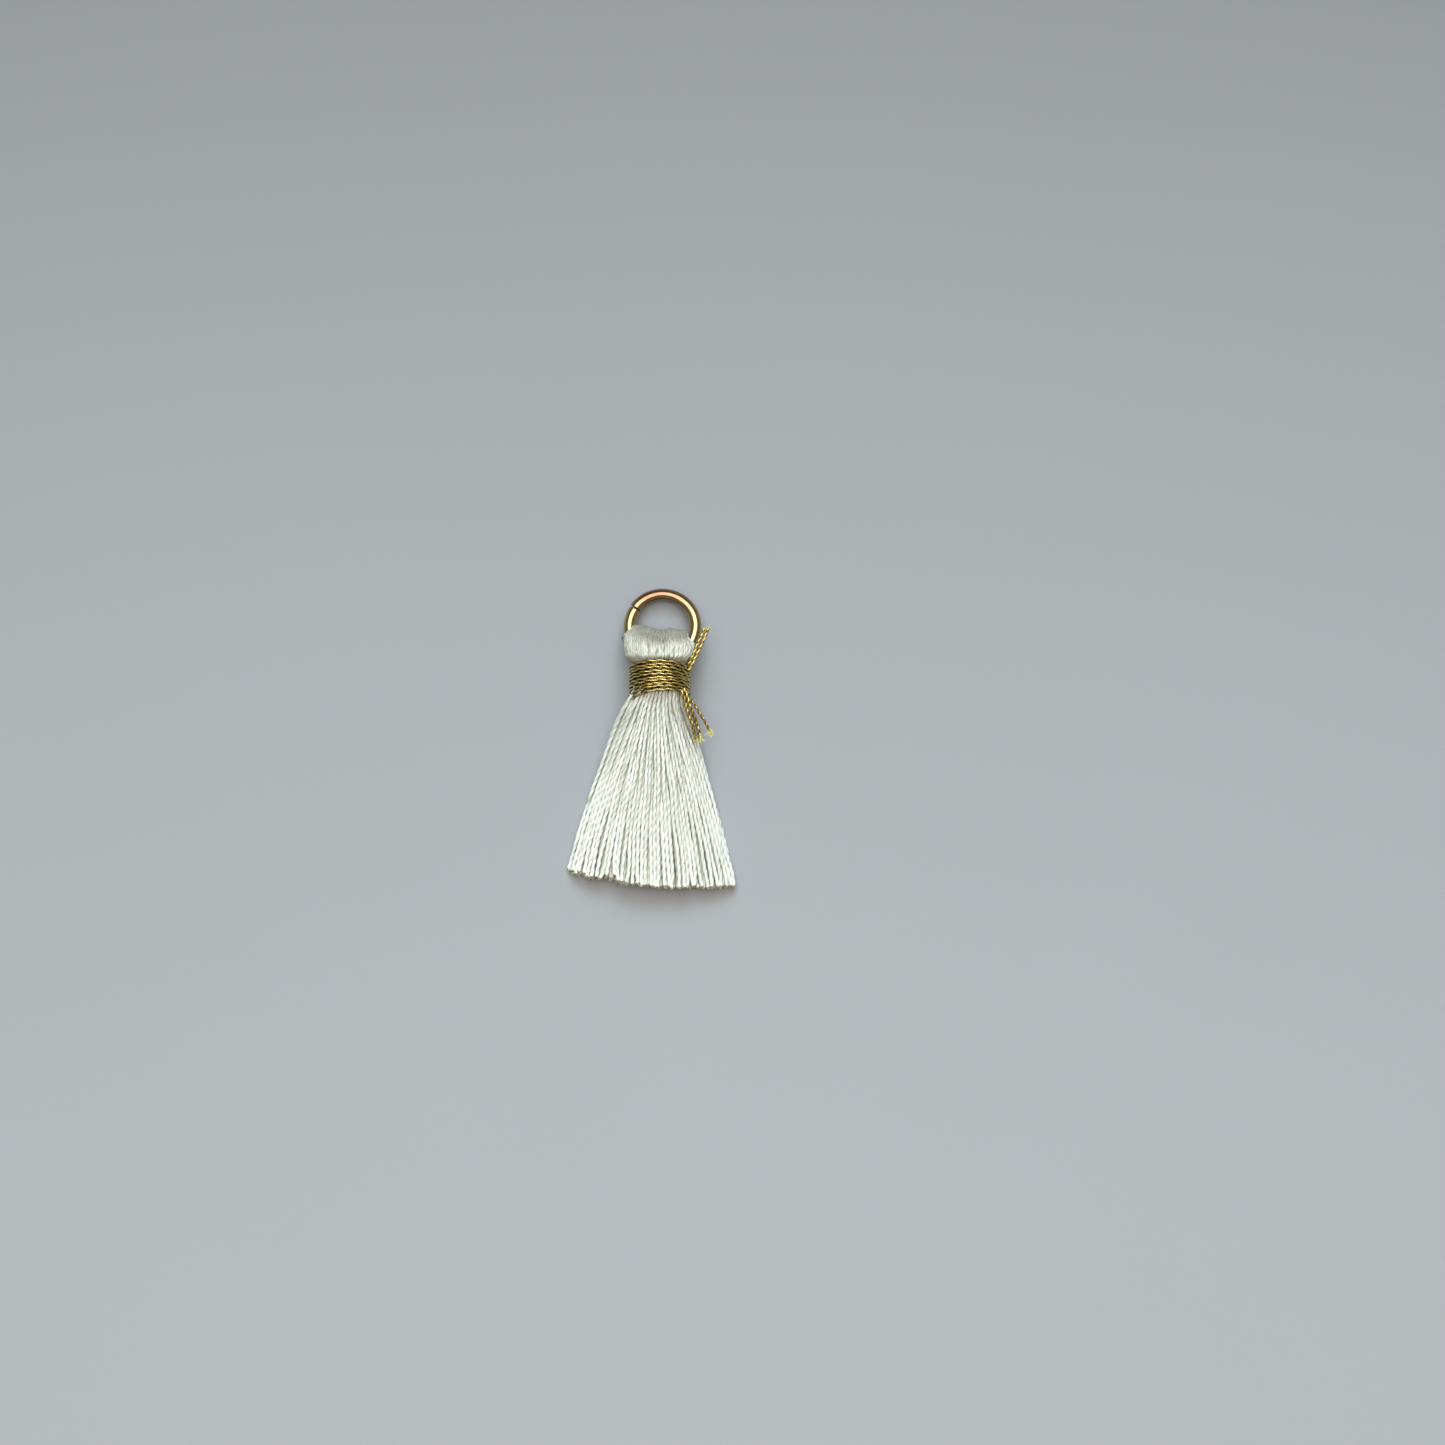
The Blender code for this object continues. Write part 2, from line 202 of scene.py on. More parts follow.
FIELD_MM = 147.75
VIEW_MIDDLE = (7.36, 1.52)
CAMERA_HEIGHT = 260.0
SUBJECT_HEIGHT = 2.0
SENSOR_MM = 36.0
FLOOR_HALF = 0.4
SKY_COLOUR = (1.0, 0.83, 0.54, 1.0)
LIGHT_COLOUR = (0.985, 0.99, 0.975)
WINDOW_COLOUR = (0.74, 0.9, 1.0)


def smooth_rows(keys, rows, at):
    """Smooth curve through a table: between two keys the value is the cubic that meets both rows
    with the slopes of the centred differences."""
    keys = np.asarray(keys, float)
    rows = np.asarray(rows, float)
    slopes = np.gradient(rows, keys, axis=0)
    at = np.clip(np.asarray(at, float), keys[0], keys[-1])
    low = np.clip(np.searchsorted(keys, at, side="right") - 1, 0, len(keys) - 2)
    span = keys[low + 1] - keys[low]
    t = (at - keys[low]) / span
    if rows.ndim > 1:
        span = span[..., None]
        t = t[..., None]
    start = (1 + 2 * t) * (1 - t) ** 2 * rows[low] + t * (1 - t) ** 2 * span * slopes[low]
    end = t * t * (3 - 2 * t) * rows[low + 1] + t * t * (t - 1) * span * slopes[low + 1]
    return start + end


def ease(value):
    """Smooth step: 0 below 0, 1 above 1 and v²(3 - 2v) between."""
    value = np.clip(value, 0.0, 1.0)
    return value * value * (3 - 2 * value)


def slow_waves(rng, lengths, shortest, longest, terms=3):
    """Sum of sines of random wavelength and phase along each thread, of about unit height."""
    wave = rng.uniform(shortest, longest, (terms, len(lengths), 1))
    phase = rng.uniform(0, math.tau, (terms, len(lengths), 1))
    return np.sin(math.tau * lengths[None] / wave + phase).sum(axis=0) / math.sqrt(terms)


def run_lengths(paths):
    """Length along each path from its start to each of its points."""
    steps = np.linalg.norm(np.diff(paths, axis=1), axis=2)
    return np.concatenate([np.zeros((len(paths), 1)), np.cumsum(steps, axis=1)], axis=1)


def unit(vectors):
    """Vectors of the same directions and of length 1."""
    return vectors / np.linalg.norm(vectors, axis=-1, keepdims=True)


def tube_corners(count, stations, sides):
    """Corners of all faces and the first corner of each: four-sided faces along the tubes, then the
    triangles of their ends, which meet in middle points that are numbered after the grid."""
    index = np.arange(count * stations * sides).reshape(count, stations, sides)
    beside = np.roll(index, -1, axis=2)
    quads = np.stack([index[:, :-1], beside[:, :-1], beside[:, 1:], index[:, 1:]], axis=-1)
    middle = index.size + np.arange(count * 2).reshape(count, 2, 1)
    middle = np.broadcast_to(middle, (count, 2, sides))
    first = np.stack([middle[:, 0], beside[:, 0], index[:, 0]], axis=-1)
    last = np.stack([middle[:, 1], index[:, -1], beside[:, -1]], axis=-1)
    corners = np.concatenate([quads.ravel(), np.stack([first, last], axis=1).ravel()])
    starts = np.concatenate([np.arange(0, quads.size, 4), np.arange(quads.size, len(corners), 3)])
    return corners, starts


def tube_uv(paths, sides):
    """UV place of each corner: the share of a turn round the tube, and the length along it in
    millimetres with 40 more for each tube, so that no two tubes share a pattern."""
    count, stations = paths.shape[:2]
    around = np.broadcast_to(np.arange(sides + 1) / sides, (count, stations, sides + 1))
    own_start = UV_TUBE_STEP * np.arange(count)[:, None]
    along = np.broadcast_to((run_lengths(paths) + own_start)[..., None], around.shape)
    grid = np.stack([around, along], axis=-1)
    quads = np.stack([grid[:, :-1, :-1], grid[:, :-1, 1:], grid[:, 1:, 1:], grid[:, 1:, :-1]], axis=-2)
    first = np.stack([grid[:, 0, :-1], grid[:, 0, 1:], grid[:, 0, :-1]], axis=-2)
    last = np.stack([grid[:, -1, :-1], grid[:, -1, :-1], grid[:, -1, 1:]], axis=-2)
    return np.concatenate([quads.reshape(-1, 2), np.stack([first, last], axis=1).reshape(-1, 2)])


def tube_object(name, paths, radius, twist, sides, pinch, reference, shade, tip, material, ways=None):
    """Twisted tubes as one mesh, built as a grid of stations along the path by angles q around it.

    The cross-section is r(q) = R (1 - pinch (1 - |cos q|)), a circle for pinch 0 and otherwise the
    outline of two plies. It turns by the twist angle w along the path, so a vertex is
    path + r(q) (cos(q + w) side + sin(q + w) up), where side is the reference direction made
    square to the path and up is the path's direction × side. Each end closes on a middle point.
    The ways are vectors at each station towards the open air, and a vertex with the outward
    direction n is open to the sum of max(0, n · way), at most 1. Without ways it is fully open.
    The materials paint shade where this openness is low, a painted stand-in for occlusion.
    """
    count, stations = paths.shape[:2]
    radius = np.broadcast_to(radius, (count, stations))
    twist = np.broadcast_to(twist, (count, stations))
    reference = np.asarray(reference, float)
    along = unit(np.gradient(paths, axis=1))
    side = unit(reference - (along * reference).sum(axis=2, keepdims=True) * along)
    up = np.cross(along, side)
    angle = np.arange(sides) * math.tau / sides
    reach = radius[..., None] * (1 - pinch * (1 - np.abs(np.cos(angle))))
    turned = angle + twist[..., None]
    outward = np.cos(turned)[..., None] * side[:, :, None] + np.sin(turned)[..., None] * up[:, :, None]
    points = paths[:, :, None] + reach[..., None] * outward
    ends = np.stack([paths[:, 0], paths[:, -1]], axis=1)
    vertices = np.concatenate([points.reshape(-1, 3), ends.reshape(-1, 3)]) * MM
    corners, starts = tube_corners(count, stations, sides)

    mesh = bpy.data.meshes.new(name)
    mesh.vertices.add(len(vertices))
    mesh.vertices.foreach_set("co", vertices.ravel())
    mesh.loops.add(len(corners))
    mesh.loops.foreach_set("vertex_index", corners.astype(np.int32))
    mesh.polygons.add(len(starts))
    mesh.polygons.foreach_set("loop_start", starts.astype(np.int32))
    mesh.update(calc_edges=True)
    mesh.shade_smooth()
    layer = mesh.uv_layers.new(name="threads")
    layer.data.foreach_set("uv", tube_uv(paths, sides).ravel().astype(np.float32))

    # Openness to light, from which the materials paint shade at shut-in points
    open_to_light = np.ones((count, stations, sides))
    if ways is not None:
        facing = [np.maximum((outward * way[:, :, None]).sum(axis=-1), 0) for way in ways]
        open_to_light = np.clip(sum(facing), 0, 1)
    by_station = (("shade", shade), ("tip", tip), ("steep", np.abs(along[..., 2])))
    values = {label: np.broadcast_to(value, (count, stations))[..., None] for label, value in by_station}
    values["open_to_light"] = open_to_light
    for label, value in values.items():
        around = np.broadcast_to(value, (count, stations, sides))
        at_ends = around[:, (0, -1)].mean(axis=2)
        flat = np.concatenate([around.ravel(), at_ends.ravel()])
        store = mesh.attributes.new(label, "FLOAT", "POINT")
        store.data.foreach_set("value", flat.astype(np.float32))
    if mesh.validate():
        raise RuntimeError(f"{name}: the mesh had faults")
    mesh.materials.append(material)
    piece = bpy.data.objects.new(name, mesh)
    bpy.context.scene.collection.objects.link(piece)
    return piece


def place(piece, node):
    """Ties a piece to the frame: it rides on the root body and stands for a node, whose part it hides.
    """
    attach(piece, "root")
    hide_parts(node)


def off_the_ring(points, clearance):
    """Points nearer to the ring's centre line than the clearance are moved straight away from it.

    In the ring's own axes the nearest point of the centre line is R (a, b) / √(a² + b²), so the
    offset is the point minus this one, stretched to the clearance where it is shorter.
    """
    radius = bpy.context.scene.tassel.ring_line_radius / MM
    own = (points - RING_MIDDLE) @ RING_TURN
    spoke = np.linalg.norm(own[..., :2], axis=-1, keepdims=True)
    nearest = np.concatenate([own[..., :2] / spoke * radius, np.zeros_like(spoke)], axis=-1)
    offset = own - nearest
    distance = np.linalg.norm(offset, axis=-1, keepdims=True)
    moved = nearest + offset * np.maximum(clearance / distance, 1.0)
    return moved @ RING_TURN.T + RING_MIDDLE


def node_set(material):
    """Empties a material and gives back its node tree with a fresh output and shader."""
    material.use_nodes = True
    tree = material.node_tree
    tree.nodes.clear()
    output = tree.nodes.new("ShaderNodeOutputMaterial")
    shader = tree.nodes.new("ShaderNodeBsdfPrincipled")
    tree.links.new(shader.outputs["BSDF"], output.inputs["Surface"])
    return tree, shader


def feed(tree, node, values):
    """Links sockets to a node's inputs, given by name or number, and sets the others to values."""
    for key, value in values.items():
        if isinstance(value, bpy.types.NodeSocket):
            tree.links.new(value, node.inputs[key])
        else:
            node.inputs[key].default_value = value


def math_node(tree, operation, *values):
    """A math node whose inputs are sockets or numbers; gives back its output."""
    node = tree.nodes.new("ShaderNodeMath")
    node.operation = operation
    feed(tree, node, dict(enumerate(values)))
    return node.outputs[0]


def attribute_node(tree, name):
    """The factor output of a named per-vertex attribute."""
    node = tree.nodes.new("ShaderNodeAttribute")
    node.attribute_name = name
    return node.outputs["Fac"]


def mix_colour(tree, factor, first, second):
    """Mixes two colours, given as values or sockets, by a factor socket."""
    node = tree.nodes.new("ShaderNodeMix")
    node.data_type = "RGBA"
    first, second = [value if isinstance(value, bpy.types.NodeSocket) else (*value, 1.0)
                     for value in (first, second)]
    feed(tree, node, {"Factor": factor, "A": first, "B": second})
    return node.outputs["Result"]


def noise_node(tree, vector, scale, detail=2.0, roughness=0.5):
    """Noise on a vector socket; gives back its grey output."""
    node = tree.nodes.new("ShaderNodeTexNoise")
    feed(tree, node, {"Vector": vector, "Scale": scale, "Detail": detail, "Roughness": roughness})
    return node.outputs["Fac"]


def times(tree, value, factor):
    """A socket times a number or another socket."""
    return math_node(tree, "MULTIPLY", value, factor)


def parts_of(tree, vector):
    """X, Y and Z sockets of a vector socket."""
    node = tree.nodes.new("ShaderNodeSeparateXYZ")
    tree.links.new(vector, node.inputs["Vector"])
    return node.outputs


def thread_coordinates(tree):
    """U and V sockets of the threads' UV map."""
    source = tree.nodes.new("ShaderNodeUVMap")
    source.uv_map = "threads"
    u, v, _ = parts_of(tree, source.outputs["UV"])
    return u, v


def join_vector(tree, *parts):
    """A vector from two or three sockets."""
    node = tree.nodes.new("ShaderNodeCombineXYZ")
    feed(tree, node, dict(enumerate(parts)))
    return node.outputs["Vector"]


def bump_node(tree, height, distance, strength):
    """A bump on a height socket; gives back its normal."""
    node = tree.nodes.new("ShaderNodeBump")
    feed(tree, node, {"Height": height, "Distance": distance, "Strength": strength})
    return node.outputs["Normal"]


def ramp_node(tree, value, low, high):
    """Smooth rise from 0 at the low value to 1 at the high value."""
    node = tree.nodes.new("ShaderNodeMapRange")
    node.interpolation_type = "SMOOTHSTEP"
    feed(tree, node, {"Value": value, "From Min": low, "From Max": high})
    return node.outputs["Result"]


def valley_socket(tree, u, narrow):
    """1 in the two valleys between the plies and 0 on their ridges: (1 - |cos|) of the angle
    around, raised to a power that narrows it."""
    cosine = math_node(tree, "COSINE", times(tree, u, math.tau))
    depth = math_node(tree, "SUBTRACT", 1.0, math_node(tree, "ABSOLUTE", cosine))
    return math_node(tree, "POWER", depth, narrow)


def round_noise(tree, u, v, stretch, around, detail=2.0):
    """Noise that closes round the thread: it is read on a circle whose size sets how fine it is
    across, while the length along the thread, times the stretch, makes the third axis."""
    angle = times(tree, u, math.tau)
    across = times(tree, math_node(tree, "COSINE", angle), around)
    upward = times(tree, math_node(tree, "SINE", angle), around)
    return noise_node(tree, join_vector(tree, across, upward, times(tree, v, stretch)), 1.0, detail)


def satin_material(looks):
    """Ivory satin thread: a shade for each thread, darker valleys between plies, fine filaments.

    A shade from 0 to 1 mixes the dark and the light satin and one below 0 sinks to the fold's
    colour, a painted shade, as steep stretches do. The valleys between the plies, the streaks
    between the filaments and the points shut in by their neighbours take the groove's colour,
    which is painted shade.
    """
    material = bpy.data.materials.new("tassel_satin")
    tree, shader = node_set(material)
    u, v = thread_coordinates(tree)
    shade = attribute_node(tree, "shade")
    colour = mix_colour(tree, shade, looks.satin_dark, looks.satin_light)
    # Painted shade: a shade below 0 sinks towards the fold's painted shade colour
    colour = mix_colour(tree, ramp_node(tree, shade, -1.0, 0.0), looks.satin_fold_painted_shade, colour)
    # Painted shade where a point is shut in by its neighbours
    lit = ramp_node(tree, attribute_node(tree, "open_to_light"), 0.05, 0.75)
    colour = mix_colour(tree, lit, looks.satin_painted_shade, colour)
    # Painted shade in the valleys between the plies
    valley = valley_socket(tree, u, SATIN_VALLEY_POWER)
    colour = mix_colour(tree, times(tree, valley, SATIN_VALLEY_SHARE), colour, looks.satin_painted_shade)
    tip = attribute_node(tree, "tip")
    colour = mix_colour(tree, times(tree, tip, SATIN_TIP_SHARE), colour, looks.satin_tip)
    # Painted shade where the threads dive steeply away
    steep = ramp_node(tree, attribute_node(tree, "steep"), 0.12, 0.65)
    colour = mix_colour(tree, times(tree, steep, SATIN_STEEP_SHARE), colour, looks.satin_fold_painted_shade)
    filaments = round_noise(tree, u, v, 0.7, 4.0)
    # Painted shade in streaks between the filaments
    streak = times(tree, ramp_node(tree, filaments, 0.4, 0.68), SATIN_STREAK_SHARE)
    colour = mix_colour(tree, streak, colour, looks.satin_painted_shade)
    rough = math_node(tree, "MULTIPLY_ADD", filaments, 0.3, 0.32)
    feed(tree, shader, {"Base Color": colour, "Roughness": rough, "Metallic": 0.15, "IOR": 1.6,
                        "Normal": bump_node(tree, filaments, 0.00003, 0.7)})
    return material


def foil_material(looks):
    """Foil-wrapped thread: bright foil on the ridges, painted dark olive shade between them, and a
    frayed end.
    """
    material = bpy.data.materials.new("tassel_foil")
    tree, shader = node_set(material)
    u, v = thread_coordinates(tree)
    tip = attribute_node(tree, "tip")
    turns = round_noise(tree, u, v, 1.1, 0.9, 3.0)
    bright = math_node(tree, "MULTIPLY_ADD", turns, 2.2, -0.6)
    colour = mix_colour(tree, bright, looks.foil_dark, looks.foil_light)
    # Painted shade in the valleys between the plies
    colour = mix_colour(tree, valley_socket(tree, u, FOIL_VALLEY_POWER), colour, looks.foil_painted_shade)
    # Painted shade where the winding is shut in
    lit = ramp_node(tree, attribute_node(tree, "open_to_light"), 0.3, 0.85)
    colour = mix_colour(tree, lit, looks.foil_painted_shade, colour)
    colour = mix_colour(tree, tip, colour, looks.fibre)
    metal = math_node(tree, "SUBTRACT", 1.0, tip)
    rough = math_node(tree, "MULTIPLY_ADD", turns, 0.25, 0.14)
    creases = round_noise(tree, u, v, 4.0, 1.6, 3.0)
    feed(tree, shader, {"Base Color": colour, "Roughness": rough, "Metallic": metal,
                        "Normal": bump_node(tree, creases, 0.00006, 0.9)})
    return material


def gold_material(looks):
    """Gold-plated wire: drawn lines along the wire, small scuffs, redder plating in patches, and a
    painted reflection, redder and darker, towards the ring's crown."""
    material = bpy.data.materials.new("tassel_gold")
    tree, shader = node_set(material)
    u, v = thread_coordinates(tree)
    spot = tree.nodes.new("ShaderNodeTexCoord").outputs["Object"]
    patches = ramp_node(tree, noise_node(tree, spot, 420.0, 3.0, 0.6), 0.35, 0.7)
    # Painted reflection: towards the crown the plating turns redder and darker
    crown = ramp_node(tree, parts_of(tree, spot)["Y"], *GOLD_PAINTED_REFLECTION_Y)
    redder = math_node(tree, "ADD", times(tree, patches, 0.35), times(tree, crown, 0.65))
    colour = mix_colour(tree, redder, looks.gold_light, looks.gold_worn_and_painted_reflection)
    lines = join_vector(tree, times(tree, u, 40.0), times(tree, v, 0.35))
    drawn = noise_node(tree, lines, 1.0, 3.0)
    scuffs = noise_node(tree, spot, 2600.0, 4.0, 0.65)
    rough = math_node(tree, "MULTIPLY_ADD", scuffs, 0.14, 0.03)
    relief = math_node(tree, "MULTIPLY_ADD", drawn, 0.5, scuffs)
    feed(tree, shader, {"Base Color": colour, "Roughness": rough, "Metallic": 1.0,
                        "Normal": bump_node(tree, relief, 0.00001, 0.5)})
    return material


def floor_material(looks):
    """Pale grey surface with faint mottling and a fine grain. Its tone falls towards the ring's side
    as 1 - y (9 y + 4.2), with y in metres, and stays between 0.6 and 1.3, a painted falloff of the
    light."""
    material = bpy.data.materials.new("studio_floor")
    tree, shader = node_set(material)
    spot = tree.nodes.new("ShaderNodeTexCoord").outputs["Object"]
    clouds = noise_node(tree, spot, 14.0, 4.0, 0.6)
    grain = noise_node(tree, spot, 900.0, 2.0, 0.5)
    mottle = math_node(tree, "MULTIPLY_ADD", clouds, 0.8, times(tree, grain, 0.2))
    dim = [0.94 * value for value in looks.floor]
    # Painted falloff of the light: the tone falls towards the ring's side
    y = parts_of(tree, spot)["Y"]
    slope = math_node(tree, "MULTIPLY_ADD", y, 9.0, 4.2)
    fall = math_node(tree, "SUBTRACT", 1.0, times(tree, y, slope))
    fall = math_node(tree, "MAXIMUM", math_node(tree, "MINIMUM", fall, 1.3), 0.6)
    painted_falloff_colour = tree.nodes.new("ShaderNodeVectorMath")
    painted_falloff_colour.operation = "MULTIPLY"
    feed(tree, painted_falloff_colour, {0: mix_colour(tree, mottle, dim, looks.floor), 1: fall})
    feed(tree, shader, {"Base Color": painted_falloff_colour.outputs["Vector"], "Roughness": 0.6,
                        "Normal": bump_node(tree, grain, 0.00002, 0.2)})
    return material


def named_material(name, maker):
    """The material of that name, made at its first use."""
    found = bpy.data.materials.get(name)
    return found or maker(bpy.context.scene.tassel)


def neck_places(rng):
    """Places of the threads in the bound neck, as shares of its half width and half height.

    They are honeycomb points x = (i + j / 2) s, z = j s √3 / 2, of which those with the smallest
    |x / a|^p + |z / b|^p are kept; the largest kept value is scaled to the oval's edge. The places
    are dealt by height to the layers of the fan, and within a layer from left to right.
    """
    steps = np.arange(-12, 13)
    i, j = np.meshgrid(steps, steps)
    x = ((i + 0.5 * (j % 2)) * NECK_PITCH).ravel()
    z = (j * NECK_PITCH * math.sqrt(3) / 2).ravel()
    power = NECK_SQUARENESS
    measure = np.abs(x / NECK_HALF_WIDTH) ** power + np.abs(z / NECK_HALF_HEIGHT) ** power
    keep = np.argsort(measure, kind="stable")[:sum(LAYER_COUNTS)]
    scale = measure[keep].max() ** (1 / power)
    x = x[keep] / NECK_HALF_WIDTH / scale
    z = z[keep] / NECK_HALF_HEIGHT / scale
    order = np.argsort(-(z + rng.uniform(-0.06, 0.06, len(z))), kind="stable")
    split = np.split(order, np.cumsum(LAYER_COUNTS)[:-1])
    order = np.concatenate([part[np.argsort(x[part], kind="stable")] for part in split])
    return x[order], z[order]


def push_apart(x, z, gap, lowest, limits, rounds):
    """Moves threads that overlap away from each other, at all stations at once.

    Each round moves every thread by 0.3 of each overlap with the others, along the line between
    them, then smooths the run of each thread by (1, 2, 1) / 4 and keeps it above the surface and
    inside the fan's width and height.
    """
    left, right, top = limits
    for _ in range(rounds):
        dx = x[:, None] - x[None]
        dz = z[:, None] - z[None]
        distance = np.sqrt(dx * dx + dz * dz) + 1e-4
        push = np.clip(gap - distance, 0.0, None) / distance * 0.3
        x = x + (dx * push).sum(axis=1)
        z = z + (dz * push).sum(axis=1)
        x[:, 1:-1] = 0.25 * x[:, :-2] + 0.5 * x[:, 1:-1] + 0.25 * x[:, 2:]
        z[:, 1:-1] = 0.25 * z[:, :-2] + 0.5 * z[:, 1:-1] + 0.25 * z[:, 2:]
        x = np.clip(x, left, right)
        z = np.clip(z, lowest, top)
    return x, z


def cut_end_routes(radius):
    """Middle lines of the hanging ends on a common grid of distances below the binding.

    At a distance d a thread lies at x = m + (w - r) ((1 - f) a + f b), where a is its place in the
    neck, b its place in the fan, f the spread and w the half width there. Its height goes the same
    way from the neck's oval to the fan's heap, where each layer lies on those that reach below it.
    A parting at p moves the places b beside it apart by g tanh((b - p) / g). Slow waves that grow
    from 0.02 mm to 0.11 mm in the first 16 mm make the threads wander.
    """
    rng = np.random.default_rng(SEED)
    neck_x, neck_z = neck_places(rng)
    layer = np.repeat(np.arange(len(LAYER_COUNTS)), LAYER_COUNTS)
    step = np.concatenate([np.arange(count) - (count - 1) / 2 for count in LAYER_COUNTS])
    half_steps = (LAYER_COUNTS[0] - 1) / 2
    fan_x = (step + rng.uniform(-FAN_JITTER, FAN_JITTER, len(step))) / half_steps
    parted = sum(PARTING_WIDTH * np.tanh((fan_x - at) / PARTING_WIDTH) for at in PARTINGS)
    fan_x = (fan_x + parted) / (1 + PARTING_WIDTH * len(PARTINGS))
    drops = np.linspace(FAN_DROPS[0], FAN_DROPS[-1], ROUTE_STATIONS)
    half_width, middle_x, half_height, middle_z, spread = smooth_rows(FAN_DROPS, FAN_ROWS, drops).T
    spread = np.clip(spread, 0.0, 1.0)
    widths = [(count - 1) / 2 / half_steps for count in LAYER_COUNTS]
    lift = sum((layer < number) * ease((widths[number] - np.abs(fan_x)) / LAYER_EDGE + 0.5)
               for number in range(1, len(LAYER_COUNTS)))
    pitch = (middle_z + half_height - 2 * radius) / (len(LAYER_COUNTS) - 1)
    share = (1 - spread) * neck_x[:, None] + spread * fan_x[:, None]
    x = middle_x + (half_width - radius) * share
    heap = radius + pitch * lift[:, None]
    oval = middle_z + (half_height - radius) * neck_z[:, None]
    z = (1 - spread) * oval + spread * heap
    height = 0.02 + 0.09 * ease(drops / 16.0)
    runs = np.broadcast_to(drops, x.shape)
    x = x + height * slow_waves(rng, runs, 5.0, 14.0)
    z = z + 0.6 * height * slow_waves(rng, runs, 4.0, 11.0)
    left = middle_x - half_width + radius
    right = middle_x + half_width - radius
    top = middle_z + half_height - radius
    x, z = push_apart(x, z, 1.9 * radius, radius, (left, right, top), ROUTE_ROUNDS)
    return drops, x, z, layer, rng


def open_sides(x, z):
    """How open each thread is upwards, downwards, to the right and to the left at each station.

    A neighbour at the distance r blocks a way by its closeness, which falls evenly from 1 at
    0.45 mm to 0 at 0.8 mm, times the squared cosine between its direction and the way. The satin
    paints shade where the ways are blocked.
    """
    dx = x[None] - x[:, None]
    dz = z[None] - z[:, None]
    distance = np.sqrt(dx * dx + dz * dz) + 1e-4
    close = np.clip((NEIGHBOUR_FAR - distance) / (NEIGHBOUR_FAR - NEIGHBOUR_NEAR), 0, 1)
    blocked = [(close * np.maximum(part / distance, 0) ** 2).sum(axis=1) for part in (dz, -dz, dx, -dx)]
    return [1 - np.clip(part, 0, 1) for part in blocked]


def along_route(drops, values, at):
    """Value of each thread's route at its own distances, by the cubic through four grid values."""
    step = drops[1] - drops[0]
    place_in = np.clip((at - drops[0]) / step, 0, len(drops) - 1.001)
    low = place_in.astype(int)
    t = place_in - low
    rows = np.arange(len(values))[:, None]
    before = values[rows, np.maximum(low - 1, 0)]
    here = values[rows, low]
    following = values[rows, np.minimum(low + 1, len(drops) - 1)]
    beyond = values[rows, np.minimum(low + 2, len(drops) - 1)]
    return here + 0.5 * t * (following - before + t * (
        2 * before - 5 * here + 4 * following - beyond + t * (3 * (here - following) + beyond - before)))


